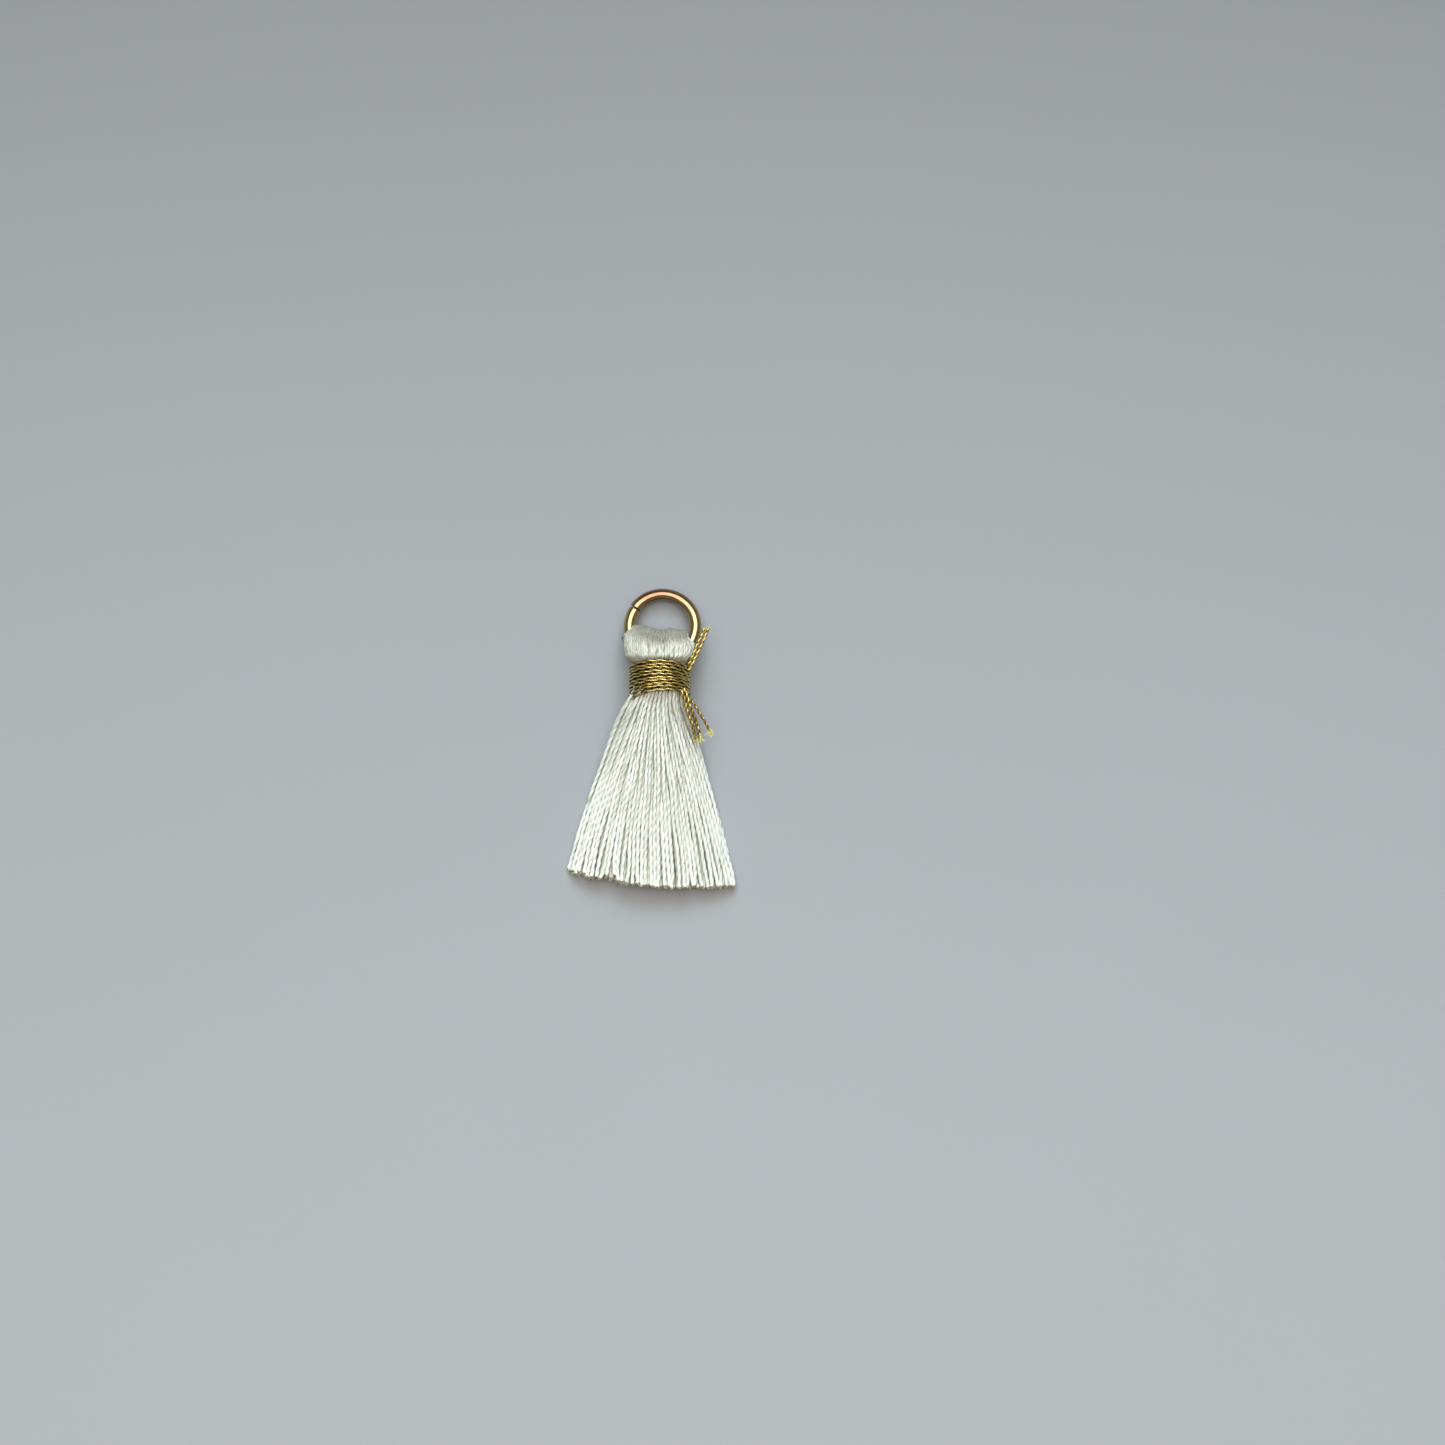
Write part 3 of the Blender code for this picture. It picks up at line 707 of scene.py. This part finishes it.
def build_cut_ends(sizes):
    """Builds the hanging ends, one piece for each upper layer and one for the two lowest, and the
    loose fibres of their cut tips.

    Each thread follows its route down to the hem, whose y is read from the hem table at the
    thread's x, between the upper and the lower line by its layer. In the last two millimetres the
    threads stray by t³ in a direction of their own. They fill out below 4 mm. Their tone is darker
    near the neck, a painted shade under the binding, and darker towards the hem.
    """
    radius = sizes.thread_diameter / MM / 2
    drops, route_x, route_z, layer, rng = cut_end_routes(radius)
    openness = open_sides(route_x, route_z)
    axes = np.array(((0, 0, 1), (0, 0, -1), (1, 0, 0), (-1, 0, 0)))
    count = len(layer)
    end_x = route_x[:, -4]
    upper = np.interp(end_x, HEM_X, HEM_UPPER_Y)
    lower = np.interp(end_x, HEM_X, HEM_LOWER_Y)
    jitter = rng.uniform(-HEM_JITTER, HEM_JITTER, count)
    hem = upper + (lower - upper) * np.minimum(layer / 2.0, 1.0) + jitter
    reach = BINDING_FOOT_Y - hem
    stray = rng.normal(0.0, STRAY_ASIDE, (count, 1))
    rise = np.abs(rng.normal(0.0, STRAY_UP, (count, 1)))
    shade = np.clip(rng.normal(0.68, 0.24, (count, 1)), 0, 1)
    start = rng.uniform(0, math.tau, (count, 1))
    turn = sizes.thread_turn / MM * rng.uniform(0.93, 1.07, (count, 1))
    material = named_material("tassel_satin", satin_material)
    tufts = []
    for name, members, stations, sides in LAYER_PARTS:
        pick = np.flatnonzero(np.isin(layer, members))
        t = np.linspace(0, 1, stations)[None]
        drop = FAN_DROPS[0] + (reach[pick, None] - FAN_DROPS[0]) * t
        left = reach[pick, None] - drop
        x = along_route(drops, route_x[pick], drop)
        z = along_route(drops, route_z[pick], drop)
        loose = np.clip(1 - left / LOOSE_LENGTH, 0, 1) ** 3
        x = x + stray[pick] * loose
        z = np.maximum(z + rise[pick] * loose, radius)
        paths = np.stack([x, BINDING_FOOT_Y - drop, z], axis=-1)
        length = run_lengths(paths)
        slack = slow_waves(rng, length, 3.0, 9.0)
        twist = start[pick] + math.tau * length / turn[pick] + 0.5 * slack
        thick = radius * (1 + 0.05 * slow_waves(rng, length, 1.5, 5.0))
        thick = thick * (1 + THICKER_BELOW * ease((drop - 4.0) / 11.0))
        thick = thick * (1 + THICKER_AT_TIP * np.clip(1 - left / 0.5, 0, 1))
        tip = ease(1 - left / 0.35) * np.where(layer[pick, None] == 0, 0.35, 1.0)
        # Painted shade near the neck under the binding; the tone is also darker towards the hem and
        # wavers slowly
        shade_and_tone_drop = (0.4 * (1 - ease((drop - 0.5) / 5.0)) + 0.25 * ease((drop - 8.0) / 9.0)
                + 0.07 * slow_waves(rng, length, 1.5, 5.0))
        tone = np.maximum(shade[pick] - shade_and_tone_drop, 0)
        # Openness on each side, from which the satin paints shade between the threads
        ways = [along_route(drops, part[pick], drop)[..., None] * axis
                for part, axis in zip(openness, axes)]
        piece = tube_object(name, paths, thick, twist, sides, sizes.ply_pinch, (1, 0, 0), tone, tip,
                            material, ways)
        place(piece, "thread_bundle")
        tufts.append(fray_strands(paths, TUFT_FIBRES, length=0.35, scatter=0.09, bend=0.1,
                                  radius=0.045, stations=TUFT_STATIONS, rng=rng))
    hairs, hair_thick = [np.concatenate(parts) for parts in zip(*tufts)]
    hairs[..., 2] = np.maximum(hairs[..., 2], 0.05)
    tone = np.repeat(np.clip(shade + 0.2, 0.5, 1.0), TUFT_FIBRES, axis=0)
    tip = np.repeat((layer > 0) * 0.45, TUFT_FIBRES)[:, None] * np.linspace(0.3, 1, TUFT_STATIONS)
    piece = tube_object("cut_end_fibres", hairs, hair_thick, 0.0, 6, 0.0, (1, 0, 0), tone, tip, material)
    place(piece, "thread_bundle")


def fold_paths(u, inward, sunk, stations):
    """Loops over the ring, from the front of the neck over the crest to its back.

    With v from 1 at the neck to 0 at the crest, the upper part is the quarter ellipse
    y = c + L sin q, h = H cos q, and the lower part narrows by a smooth step to the neck. The
    height h is then shared out as z = m ± h (1 - |u|^p)^(1 / p) for a loop at the place u across,
    and x lies at that share of the outline at y. Each deeper layer lies about 0.3 mm further in.
    """
    t = np.linspace(-1, 1, stations)[None]
    v = np.abs(t)
    q = math.pi / 2 * np.clip(1 - v / CREST_PART, 0, 1)
    length = HEAD_CREST_LENGTH - 0.4 * inward
    height = HEAD_HALF_HEIGHT - HEAD_LAYER_STEP * inward
    neck_height = HEAD_NECK_HEIGHT - HEAD_LAYER_STEP * inward
    foot = np.clip((v - CREST_PART) / (1 - CREST_PART), 0, 1)
    y = HEAD_WIDEST_Y + length * np.sin(q) - (HEAD_WIDEST_Y - HEAD_FOOT_Y) * foot
    fall = ease((HEAD_WIDEST_Y - y) / 0.95)
    h = np.where(v < CREST_PART, height * np.cos(q), height + (neck_height - height) * fall)
    u = u[:, None]
    edge = (1 - np.abs(u) ** HEAD_SQUARENESS) ** (1 / HEAD_SQUARENESS)
    y = np.broadcast_to(y, (len(u), stations))
    weight = ease((y - HEAD_WIDEST_Y) / HEAD_CREST_LENGTH)
    sides = smooth_rows(HEAD_Y, HEAD_SIDES, y)
    half = (sides[..., 1] - sides[..., 0]) / 2 - 0.19 - 0.3 * inward
    x = sides.mean(axis=-1) + half * u
    y = y + weight * smooth_rows(CREST_U, CREST_SHIFT, u)
    depth = h * edge - sunk[:, None] * fall
    z = HEAD_MIDDLE_Z + np.where(t < 0, 1.0, -1.0) * depth
    return np.stack([x, y, z], axis=-1)


def build_fold(sizes):
    """Builds the fold of threads over the ring: an outer piece and an inner piece that fills it.

    The loops stand at even angles p from -86° to 86°, at the places u = sin p, and every second
    one is sunk a little. They point to the open air away from the fold's middle, each to its own
    degree, which changes slowly along it, and the satin paints shade where they are less open.
    Most loops get a shade below 0, which darkens them as painted shade.
    """
    rng = np.random.default_rng(SEED + 1)
    radius = sizes.thread_diameter / MM / 2
    turn = FOLD_TURN * (sizes.thread_turn / MM)
    pinch = FOLD_PINCH * sizes.ply_pinch
    middle = np.array((BAND_MIDDLE_X, HEAD_WIDEST_Y, HEAD_MIDDLE_Z))
    material = named_material("tassel_satin", satin_material)
    for name, layers, stations, sides in FOLD_PARTS:
        parts = []
        for count, inward in layers:
            jitter = rng.uniform(-LOOP_JITTER, LOOP_JITTER, count)
            u = np.sin(np.radians(np.linspace(-LOOP_REACH, LOOP_REACH, count) + jitter))
            sunk = np.where(np.arange(count) % 2 == 1, LOOP_SUNK, 0.0)
            parts.append(fold_paths(u, inward, sunk, stations))
        paths = np.concatenate(parts)
        count = len(paths)
        length = run_lengths(paths)
        paths[..., 0] += 0.025 * slow_waves(rng, length, 3.0, 9.0)
        thick = radius * (1 + 0.06 * slow_waves(rng, length, 1.5, 5.0))
        paths = off_the_ring(paths, sizes.ring_wire / MM / 2 + radius)
        paths[..., 2] = np.maximum(paths[..., 2], radius)
        start = rng.uniform(0, math.tau, (count, 1))
        twist = start + math.tau * run_lengths(paths) / (turn * rng.uniform(0.85, 1.15, (count, 1)))
        # Painted shade: most loops get a shade below 0, which darkens them
        shade = rng.normal(-0.48, 0.4, (count, 1)) + 0.27 * slow_waves(rng, length, 0.7, 2.6)
        away = paths - middle
        away[..., 1] = np.maximum(away[..., 1], 0)
        # Painted shade varies with how open each loop is, loop by loop and along it
        airy = np.clip(0.4 + 0.24 * slow_waves(rng, length, 0.9, 3.5), 0.1, 0.9)
        away = unit(away) * airy[..., None]
        piece = tube_object(name, paths, thick, twist, sides, pinch, (1, 0, 0), shade, 0.0, material,
                            [away])
        place(piece, "thread_bundle")


def band_paths(radius, pitch, turns, inset, first_y, stations, rng):
    """Winding round the neck: a helix on an oval with a flat foot.

    x = m + (a - r) cos q and z = M + (b - r) sin q, kept above the surface, and y falls evenly
    with the angle q. The top leans towards the ring by the lean times the height above the
    middle. The first and the last turn bow by c + b cos q + a cos² q each and those between by a
    blend of both, and slow waves bunch neighbouring turns.
    """
    q = np.linspace(BAND_START, BAND_START + math.tau * turns, stations)[None]
    x = BAND_MIDDLE_X + (BAND_HALF_WIDTH - radius - inset) * np.cos(q)
    z = BAND_MIDDLE_Z + (BAND_HALF_HEIGHT - radius - inset) * np.sin(q)
    z = np.maximum(z, radius)
    y = first_y - pitch * (q - BAND_START) / math.tau + BAND_LEAN * (z - BAND_MIDDLE_Z)
    across = np.cos(q)
    done = (q - BAND_START) / (q[0, -1] - BAND_START)
    upper = BAND_UPPER_BOW[0] + BAND_UPPER_BOW[1] * across + BAND_UPPER_BOW[2] * across ** 2
    lower = BAND_LOWER_BOW[0] + BAND_LOWER_BOW[1] * across + BAND_LOWER_BOW[2] * across ** 2
    y = y + upper * (1 - done) + lower * done
    y = y + 0.045 * slow_waves(rng, q, 2.2, 6.0)
    return np.stack([x, y, z], axis=-1), q


def build_binding(sizes):
    """Builds the winding of metallic thread: an outer helix and an inner one half a pitch off.

    Over the last turns both dip at the left by a smooth bump of the angle, which is the lump where
    the thread was drawn in. They open to the air along the oval's normal, (x / a², 0, z / b²), the
    inner helix less, and the foil paints shade where they are less open.
    """
    rng = np.random.default_rng(SEED + 2)
    material = named_material("tassel_foil", foil_material)
    turns = sizes.binding_turns
    turn = sizes.binding_turn_length / MM
    radius = sizes.binding_diameter / MM / 2
    top = BAND_TOP_Y - radius
    pitch = (BAND_TOP_Y - BINDING_FOOT_Y - 2 * radius) / (turns - 1)
    middle = np.array((BAND_MIDDLE_X, 0, BAND_MIDDLE_Z))
    oval = np.array((1 / BAND_HALF_WIDTH ** 2, 0, 1 / BAND_HALF_HEIGHT ** 2))
    groups = (
        # The inner winding is only 0.6 open, so the foil paints it darker as painted shade
        ("binding_outer", turns, 0.0, top, 1.0, 1600, 12),
        ("binding_inner", turns - 1, 0.2, top - pitch / 2, 0.6, 700, 6),
    )
    for name, wound, inset, first_y, airy, stations, sides in groups:
        paths, q = band_paths(radius, pitch, wound, inset, first_y, stations, rng)
        off_left = (np.cos(q) - math.cos(BAND_DIP_ANGLE)) / BAND_DIP_WIDTH
        near = np.exp(-off_left ** 2) * (np.sin(q) > -0.2)
        before_end = (q[:, -1:] - q) / (math.tau * BAND_DIP_TURNS)
        paths[..., 1] -= BAND_DIP_DEPTH * near * ease(1 - before_end)
        length = run_lengths(paths)
        twist = math.tau * length / turn + 0.9 * slow_waves(rng, length, 5.0, 20.0)
        thick = radius * (1 + 0.05 * slow_waves(rng, length, 1.0, 4.0))
        shade = 0.5 + 0.5 * slow_waves(rng, length, 8.0, 30.0)
        away = unit((paths - middle) * oval) * airy
        piece = tube_object(name, paths, thick, twist, sides, FOIL_PINCH, (0, 1, 0), shade, 0.0,
                            material, [away])
        place(piece, "neck_binding")


def tie_strands(route, offset, radius, spread, rng, turn, stations):
    """Strands that run side by side along a smooth route.

    A strand's middle line is the route plus its offset turned slowly about it, and the strands
    drift apart by the spread towards the free end.
    """
    route = np.asarray(route, float)
    steps = np.linalg.norm(np.diff(route, axis=0), axis=1)
    keys = np.concatenate([[0.0], np.cumsum(steps)])
    at = np.linspace(0, keys[-1], stations)
    middle = smooth_rows(keys, route, at)
    along = unit(np.gradient(middle, axis=0))
    side = unit(np.cross(along, (0.0, 0.0, 1.0)))
    up = np.cross(side, along)
    wide = np.asarray(offset)[:, None] * (1 + spread * ease(at / keys[-1]))
    angle = 0.5 * np.sin(math.tau * at / 4.2 + rng.uniform(0, math.tau))
    paths = (middle[None] + (wide * np.cos(angle))[..., None] * side[None]
             + (wide * np.sin(angle))[..., None] * up[None])
    length = run_lengths(paths)
    twist = rng.uniform(0, math.tau, (len(paths), 1)) + math.tau * length / turn
    thick = radius * (1 + 0.06 * slow_waves(rng, length, 1.0, 3.0))
    return paths, thick, twist


def fray_strands(paths, each, length, scatter, bend, radius, stations, rng):
    """Loose fibres at the cut ends of strands: each starts inside the strand's tip, scattered
    across it, runs on along the strand and bends off in a direction of its own by t²."""
    ends = np.repeat(paths[:, -1], each, axis=0)
    heading = unit(np.repeat(paths[:, -1] - paths[:, -6], each, axis=0))
    t = np.linspace(0, 1, stations)[None, :, None]
    reach = length * rng.uniform(0.5, 1.0, (len(ends), 1, 1))
    off = rng.normal(0, bend, (len(ends), 1, 3)) * reach
    start = ends + rng.normal(0, scatter, ends.shape) - 0.25 * heading
    hairs = start[:, None] + reach * t * heading[:, None] + off * t * t
    return hairs, np.broadcast_to(radius * (1 - 0.5 * t[..., 0]), hairs.shape[:2])


def build_ties(sizes):
    """Builds the free ends of the metallic thread: two pairs and a single end, with frayed tips."""
    rng = np.random.default_rng(SEED + 3)
    material = named_material("tassel_foil", foil_material)
    turn = sizes.binding_turn_length / MM * TIE_TURN
    for name, node, route, offset, radius, spread, fibres, fray in TIES:
        strands, thick, twist = tie_strands(route, offset, radius, spread, rng, turn, TIE_STATIONS)
        hairs, hair_thick = fray_strands(strands, fibres // len(strands), length=fray, scatter=0.08,
                                         bend=0.36, radius=0.034, stations=TIE_STATIONS, rng=rng)
        paths = np.concatenate([strands, hairs])
        paths[..., 2] = np.maximum(paths[..., 2], 0.15)
        thick = np.concatenate([thick, hair_thick])
        twist = np.concatenate([twist, np.zeros(hair_thick.shape)])
        tip = np.repeat((0.0, 1.0), (len(strands), len(hairs)))[:, None]
        shade = rng.uniform(0.2, 0.8, (len(paths), 1))
        piece = tube_object(name, paths, thick, twist, 8, TIE_PINCH, (1, 0, 0), shade, tip, material)
        place(piece, node)


def build_ring(sizes):
    """Builds the jump ring: a circle of wire carried round the tilted centre line.

    The line starts and ends at the split, one end a little further in than the other, and the
    wire's radius falls there by a quarter circle, r = R - e (1 - √(1 - k²)), for cut ends with
    rounded edges.
    """
    radius = sizes.ring_line_radius / MM
    wire = sizes.ring_wire / MM / 2
    half = RING_SPLIT_WIDTH / 2 / radius
    share = np.linspace(0, 1, RING_STATIONS - 2 * RING_END_STEPS)
    first = np.linspace(0, share[1], RING_END_STEPS + 1)[:-1]
    share = np.concatenate([first, share[1:-1], 1 - first[::-1]])
    angle = RING_SPLIT_ANGLE + half + (math.tau - 2 * half) * share
    line = radius - RING_SPLIT_OFFSET * np.clip(1 - 6 * share, 0, 1)
    flat = np.stack([line * np.cos(angle), line * np.sin(angle), np.zeros_like(angle)], axis=-1)
    path = flat @ RING_TURN.T + RING_MIDDLE
    near_end = np.minimum(share, 1 - share) * math.tau * radius
    k = np.clip(1 - near_end / RING_EDGE, 0, 1)
    thick = wire - RING_EDGE * (1 - np.sqrt(1 - k * k))
    normal = RING_TURN @ np.array((0.0, 0.0, 1.0))
    material = named_material("tassel_gold", gold_material)
    piece = tube_object("ring_wire", path[None], thick[None], 0.0, RING_SIDES, 0.0, normal, 0.5, 0.0,
                        material)
    place(piece, "jump_ring")


def build_stage(sizes):
    """Floor, two soft lights, warm surroundings that brighten upwards, and a camera that looks
    straight down."""
    scene = bpy.context.scene
    half = FLOOR_HALF
    corners = [(-half, -half, 0), (half, -half, 0), (half, half, 0), (-half, half, 0)]
    mesh = bpy.data.meshes.new("studio_floor")
    mesh.from_pydata(corners, [], [(0, 1, 2, 3)])
    mesh.materials.append(named_material("studio_floor", floor_material))
    floor = bpy.data.objects.new("studio_floor", mesh)
    scene.collection.objects.link(floor)

    world = bpy.data.worlds.new("studio_world")
    world.use_nodes = True
    tree = world.node_tree
    background = tree.nodes["Background"]
    background.inputs["Color"].default_value = SKY_COLOUR
    heading = tree.nodes.new("ShaderNodeTexCoord").outputs["Generated"]
    height = math_node(tree, "MAXIMUM", parts_of(tree, heading)["Z"], 0.0)
    even = sizes.surroundings
    level = math_node(tree, "MULTIPLY_ADD", height, even, 0.5 * even)
    tree.links.new(level, background.inputs["Strength"])
    scene.world = world

    lights = (
        ("studio_light", (0.48, 0.42), sizes.light_power, LIGHT_COLOUR, (0.0, 0.137, 0.42), -18.0),
        ("studio_window", (1.0, 0.5), sizes.window_power, WINDOW_COLOUR, (0.05, 1.1, 0.78), -54.7),
    )
    for name, size, power, colour, spot, tilt in lights:
        lamp = bpy.data.lights.new(name, "AREA")
        lamp.shape = "RECTANGLE"
        lamp.size, lamp.size_y = size
        lamp.energy = power
        lamp.color = colour
        light = bpy.data.objects.new(name, lamp)
        light.location = spot
        light.rotation_euler = (math.radians(tilt), 0.0, 0.0)
        light.visible_glossy = name == "studio_light"
        scene.collection.objects.link(light)

    lens = bpy.data.cameras.new("studio_camera")
    lens.sensor_width = SENSOR_MM
    lens.lens = SENSOR_MM * (CAMERA_HEIGHT - SUBJECT_HEIGHT) / FIELD_MM
    lens.clip_start = 0.01
    lens.clip_end = 10.0
    camera = bpy.data.objects.new("studio_camera", lens)
    camera.location = (VIEW_MIDDLE[0] * MM, VIEW_MIDDLE[1] * MM, CAMERA_HEIGHT * MM)
    scene.collection.objects.link(camera)
    scene.camera = camera
    scene.view_settings.view_transform = "Standard"


def colour_property(name, description, default):
    """A colour that a user can change."""
    return FloatVectorProperty(name=name, description=description, default=default, size=3,
                               min=0, max=1, subtype="COLOR")


def length_property(name, description, default, low, high):
    """A length that a user can change, in metres."""
    return FloatProperty(name=name, description=description, default=default, min=low, max=high,
                         precision=5, unit="LENGTH")


class TasselSizes(bpy.types.PropertyGroup):
    """Sizes and colours of the tassel that a user would change."""

    thread_diameter: length_property(
        "Thread diameter", "Width of a satin thread across both plies", 0.0004, 0.0001, 0.001)
    thread_turn: length_property(
        "Thread turn", "Length of a satin thread in which its plies turn once", 0.002, 0.0004, 0.01)
    ply_pinch: FloatProperty(
        name="Ply pinch", description="Depth of the valleys between the plies, as a share of the radius",
        default=0.22, min=0.0, max=0.9, subtype="FACTOR")
    ring_line_radius: length_property(
        "Ring radius", "Radius of the jump ring at the middle of its wire", 0.0034, 0.001, 0.01)
    ring_wire: length_property(
        "Ring wire", "Diameter of the jump ring's wire", 0.0012, 0.0004, 0.003)
    binding_diameter: length_property(
        "Binding thread", "Diameter of the metallic thread round the neck", 0.00031, 0.0001, 0.001)
    binding_turns: IntProperty(
        name="Binding turns", description="Number of turns of metallic thread round the neck",
        default=10, min=3, max=30)
    binding_turn_length: length_property(
        "Binding twist", "Length of the metallic thread in which its foil turns once",
        0.0022, 0.0004, 0.01)
    satin_light: colour_property(
        "Satin light", "Colour of the lightest satin threads", (0.885, 0.92, 0.9))
    satin_dark: colour_property(
        "Satin dark", "Colour of the darkest satin threads", (0.69, 0.72, 0.69))
    # Painted shade colour for the valleys, the filament streaks and shut-in points
    satin_painted_shade: colour_property(
        "Satin groove", "Colour between the plies and filaments", (0.55, 0.56, 0.485))
    # Painted shade colour for the fold's crest and the steep stretches
    satin_fold_painted_shade: colour_property(
        "Satin fold", "Colour of the threads where they dive over the ring", (0.15, 0.134, 0.1))
    satin_tip: colour_property(
        "Satin tip", "Colour of the cut ends of the satin threads", (0.8, 0.76, 0.5))
    gold_light: colour_property("Gold", "Colour of the ring's plating", (0.53, 0.43, 0.245))
    # Colour of the redder patches of the plating and of the painted reflection at the ring's crown
    gold_worn_and_painted_reflection: colour_property(
        "Worn gold", "Colour of the redder patches of the plating", (0.31, 0.165, 0.11))
    foil_light: colour_property(
        "Foil light", "Colour of the bright faces of the metallic thread", (1.0, 0.86, 0.4))
    foil_dark: colour_property(
        "Foil dark", "Colour of the dull faces of the metallic thread", (0.72, 0.56, 0.18))
    # Painted shade colour between the plies and rows of the metallic thread
    foil_painted_shade: colour_property(
        "Foil groove", "Colour between the faces of the metallic thread", (0.085, 0.062, 0.01))
    fibre: colour_property(
        "Loose fibres", "Colour of the frayed fibres of the metallic thread", (0.78, 0.74, 0.26))
    floor: colour_property("Floor", "Colour of the studio floor", (0.273, 0.284, 0.308))
    surroundings: FloatProperty(
        name="Surroundings", description="Strength of the even light from all sides",
        default=0.3, min=0.0, max=5.0)
    light_power: FloatProperty(
        name="Light", description="Power of the soft light above, in watts",
        default=1.87, min=0.0, max=100.0)
    window_power: FloatProperty(
        name="Window", description="Power of the broad light from the ring's side, in watts",
        default=24.0, min=0.0, max=100.0)


class TASSEL_OT_cut_ends(bpy.types.Operator):
    """Build the hanging ends of satin thread"""

    bl_idname = "tassel.cut_ends"
    bl_label = "Hanging ends"
    bl_options = {"REGISTER", "UNDO"}

    def execute(self, context):
        build_cut_ends(context.scene.tassel)
        return {"FINISHED"}


class TASSEL_OT_fold(bpy.types.Operator):
    """Build the fold of threads over the ring"""

    bl_idname = "tassel.fold"
    bl_label = "Fold over the ring"
    bl_options = {"REGISTER", "UNDO"}

    def execute(self, context):
        build_fold(context.scene.tassel)
        return {"FINISHED"}


class TASSEL_OT_binding(bpy.types.Operator):
    """Build the winding of metallic thread round the neck"""

    bl_idname = "tassel.binding"
    bl_label = "Neck binding"
    bl_options = {"REGISTER", "UNDO"}

    def execute(self, context):
        build_binding(context.scene.tassel)
        return {"FINISHED"}


class TASSEL_OT_ties(bpy.types.Operator):
    """Build the free ends of the metallic thread"""

    bl_idname = "tassel.ties"
    bl_label = "Tie ends"
    bl_options = {"REGISTER", "UNDO"}

    def execute(self, context):
        build_ties(context.scene.tassel)
        return {"FINISHED"}


class TASSEL_OT_ring(bpy.types.Operator):
    """Build the jump ring"""

    bl_idname = "tassel.ring"
    bl_label = "Jump ring"
    bl_options = {"REGISTER", "UNDO"}

    def execute(self, context):
        build_ring(context.scene.tassel)
        return {"FINISHED"}


class TASSEL_OT_stage(bpy.types.Operator):
    """Build the floor, the light and the camera"""

    bl_idname = "tassel.stage"
    bl_label = "Studio"
    bl_options = {"REGISTER", "UNDO"}

    def execute(self, context):
        build_stage(context.scene.tassel)
        return {"FINISHED"}


class TASSEL_PT_sidebar(bpy.types.Panel):
    """Lists the sizes, the colours and the build steps of the tassel"""

    bl_idname = "TASSEL_PT_sidebar"
    bl_label = "Tassel"
    bl_space_type = "VIEW_3D"
    bl_region_type = "UI"
    bl_category = "Tassel"

    def draw(self, context):
        layout = self.layout
        sizes = context.scene.tassel
        for name in TasselSizes.__annotations__:
            layout.prop(sizes, name)
        for step in STEPS:
            layout.operator(step.bl_idname)


STEPS = (TASSEL_OT_cut_ends, TASSEL_OT_fold, TASSEL_OT_binding, TASSEL_OT_ties, TASSEL_OT_ring,
         TASSEL_OT_stage)
CLASSES = (TasselSizes, *STEPS, TASSEL_PT_sidebar)


def register():
    """Registers the classes and hangs the sizes on the scene."""
    for each in CLASSES:
        bpy.utils.register_class(each)
    bpy.types.Scene.tassel = PointerProperty(type=TasselSizes)


def unregister():
    """Undoes register."""
    del bpy.types.Scene.tassel
    for each in reversed(CLASSES):
        bpy.utils.unregister_class(each)


def main():
    """Registers the add-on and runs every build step."""
    register()
    bpy.ops.tassel.cut_ends()
    bpy.ops.tassel.fold()
    bpy.ops.tassel.binding()
    bpy.ops.tassel.ties()
    bpy.ops.tassel.ring()
    bpy.ops.tassel.stage()


if __name__ == "__main__":
    main()
